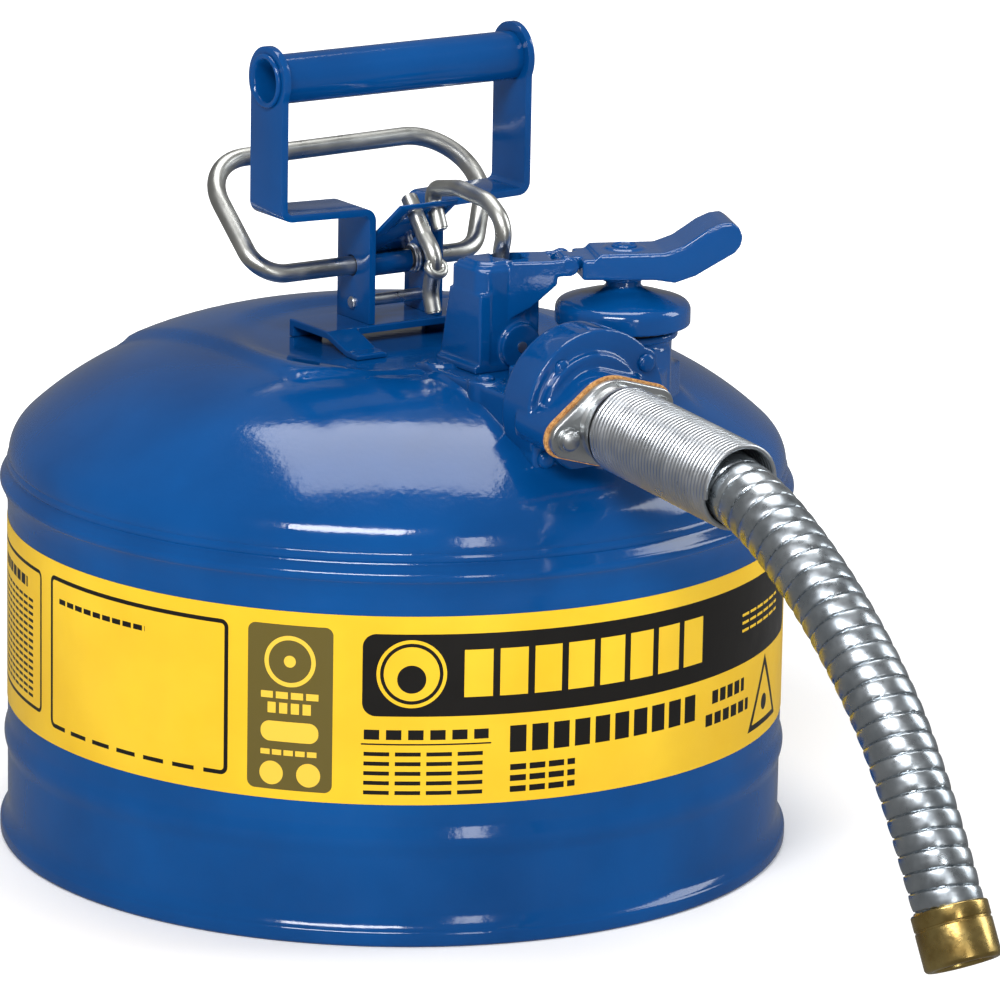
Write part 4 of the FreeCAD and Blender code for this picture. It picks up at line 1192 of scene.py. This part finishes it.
# %% Thumb lever
def make_lever():
    side = [(-17.4, 226.2), (-17.4, 233.9), (-12.8, 233.9), (-11, 235.8), (13, 235.8), (20, 238.2),
            (29, 244.2), (34, 246.4), (38, 246.6), (40.6, 244.8), (42.0, 241.5), (41.4, 237.8), (39.3, 235.2),
            (24.5, 226.8), (17, 224.4), (10, 225.6)]
    clay = Clay().prism(side, -11.2, 11.2, ALONG_LEVER)
    clay.box((HINGE_X, -5.2, 229.6), (-17, 5.2, 233.9), LEVER)
    clay.disc(3.4, -5.2, 5.2, across_lever(HINGE_X, HINGE_Z), 48)
    clay.disc(7.0, 235, 236.6, LEVER, 64)
    lever = clay.cast("thumb_lever_cast", cast_blue, "lid", voxel=0.5, rounds=14)
    hollow = Clay().box((-14, -9.4, 215), (14, 9.4, 232), LEVER).done("hollow", blue)
    gap = Clay().disc(1.7, -20, 20, across_lever(HINGE_X, HINGE_Z), 32).done("pin_hole", blue)
    drill(lever, hollow, gap, smooth=70)
    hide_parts("thumb_lever")
    return lever


lever = make_lever()
rivet_profile = [(0, 237.3), (2.2, 237.2), (3.0, 236.5), (3.4, 236.5), (4.4, 237.2), (4.8, 236.9),
                 (4.8, 236.0), (2.5, 236.0), (2.5, 213), (0, 213)]
rivet = lathe("lid_rivet_peened", rivet_profile, blue, "lid", spin=LID_AXIS, steps=48)
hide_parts("lid_rivet")

cap_profile = ([(0, 207.9), (12, 207.9), (23.8, 207.8)] + arc(24.0, 208.8, 1.0, -90, 0, 5)
               + arc(21.4, 213.2, 3.6, 0, 70, 8)
               + [(20.5, 217.2), (16, 218.6), (12, 219.6), (9, 220.6), (7.2, 221.4), (6.5, 222.4)]
               + [(6.5, 231.8), (2.5, 231.8), (2.5, 212.0), (0, 212.0)])
cap = lathe("lid_cap_pressed", cap_profile, cast_blue, "lid", spin=LID_AXIS, smooth=50)
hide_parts("lid_cap")

seal_profile = [(12.4, 206.4), (13, 206.3), (19.6, 206.3), (20.3, 206.7), (20.3, 207.8), (12.4, 207.8)]
lid_seal = lathe("lid_gasket_ring", seal_profile, seal, "lid", spin=LID_AXIS, steps=96)
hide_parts("lid_gasket")

relief_line = helix(7.5, 1.75, 223, 230, LID_AXIS, 36)
relief = bent_wire("relief_spring_coil", relief_line, 0.85, blue, "lid", sides=12)
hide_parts("relief_spring")
print("lever faces:", len(lever.data.polygons))

# %% [markdown]
# ## Hidden pieces and the floor
# The valve, screens and vent tube sit under the head. Their engineering shapes are already right, so they
# keep them and only get a finish. The floor is a wide pale sheet that carries the soft shadow. It glows
# faintly near the can and more strongly far away, so that it fades into the pale background. It is not part
# of the can.

# %% Finish the pieces that keep their engineering shape
valve_line = helix(4.2, 3.1, 193, 221.7, ROD_AXIS, 32)
valve_coil = bent_wire("valve_spring_coil", valve_line, 0.6, zinc, sides=12)
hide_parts("valve_spring")
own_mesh(valve_coil)

for name, finish in (("vent_tube", zinc), ("fill_screen", cloth), ("pour_screen", cloth), ("valve_rod", zinc),
                     ("valve_disc", zinc), ("valve_seal", seal)):
    mesh = nodes[name].data
    mesh.materials.clear()
    mesh.materials.append(finish)
    mesh.shade_smooth()
    mesh.set_sharp_from_angle(angle=math.radians(35))

# %% Floor
FLOOR_REACH = 6
corners = [(x * FLOOR_REACH, y * FLOOR_REACH, 0) for x, y in ((-1, -1), (1, -1), (1, 1), (-1, 1))]
floor_mesh = bpy.data.meshes.new("floor")
floor_mesh.from_pydata(corners, [], [(0, 1, 2, 3)])
floor = bpy.data.objects.new("floor", floor_mesh)
scene.collection.objects.link(floor)
floor_finish = Finish("pale_floor", roughness=0.9, emission_strength=1.0)
distance = floor_finish.node("ShaderNodeVectorMath", {"operation": "LENGTH"}, {0: floor_finish.place()},
                             out="Value")
away, cloud = floor_finish.ramp(distance, 0.25, 0.9), floor_finish.ramp(floor_finish.noise(3), 0.3, 0.7)
floor_finish.drive(emission_color=floor_finish.mix(away, (0.12, 0.12, 0.12, 1), (0.8, 0.8, 0.8, 1)),
                   base_color=floor_finish.mix(cloud, (0.90, 0.90, 0.91, 1), (0.93, 0.93, 0.93, 1)))
floor_mesh.materials.append(floor_finish.material)
floor.visible_glossy = False
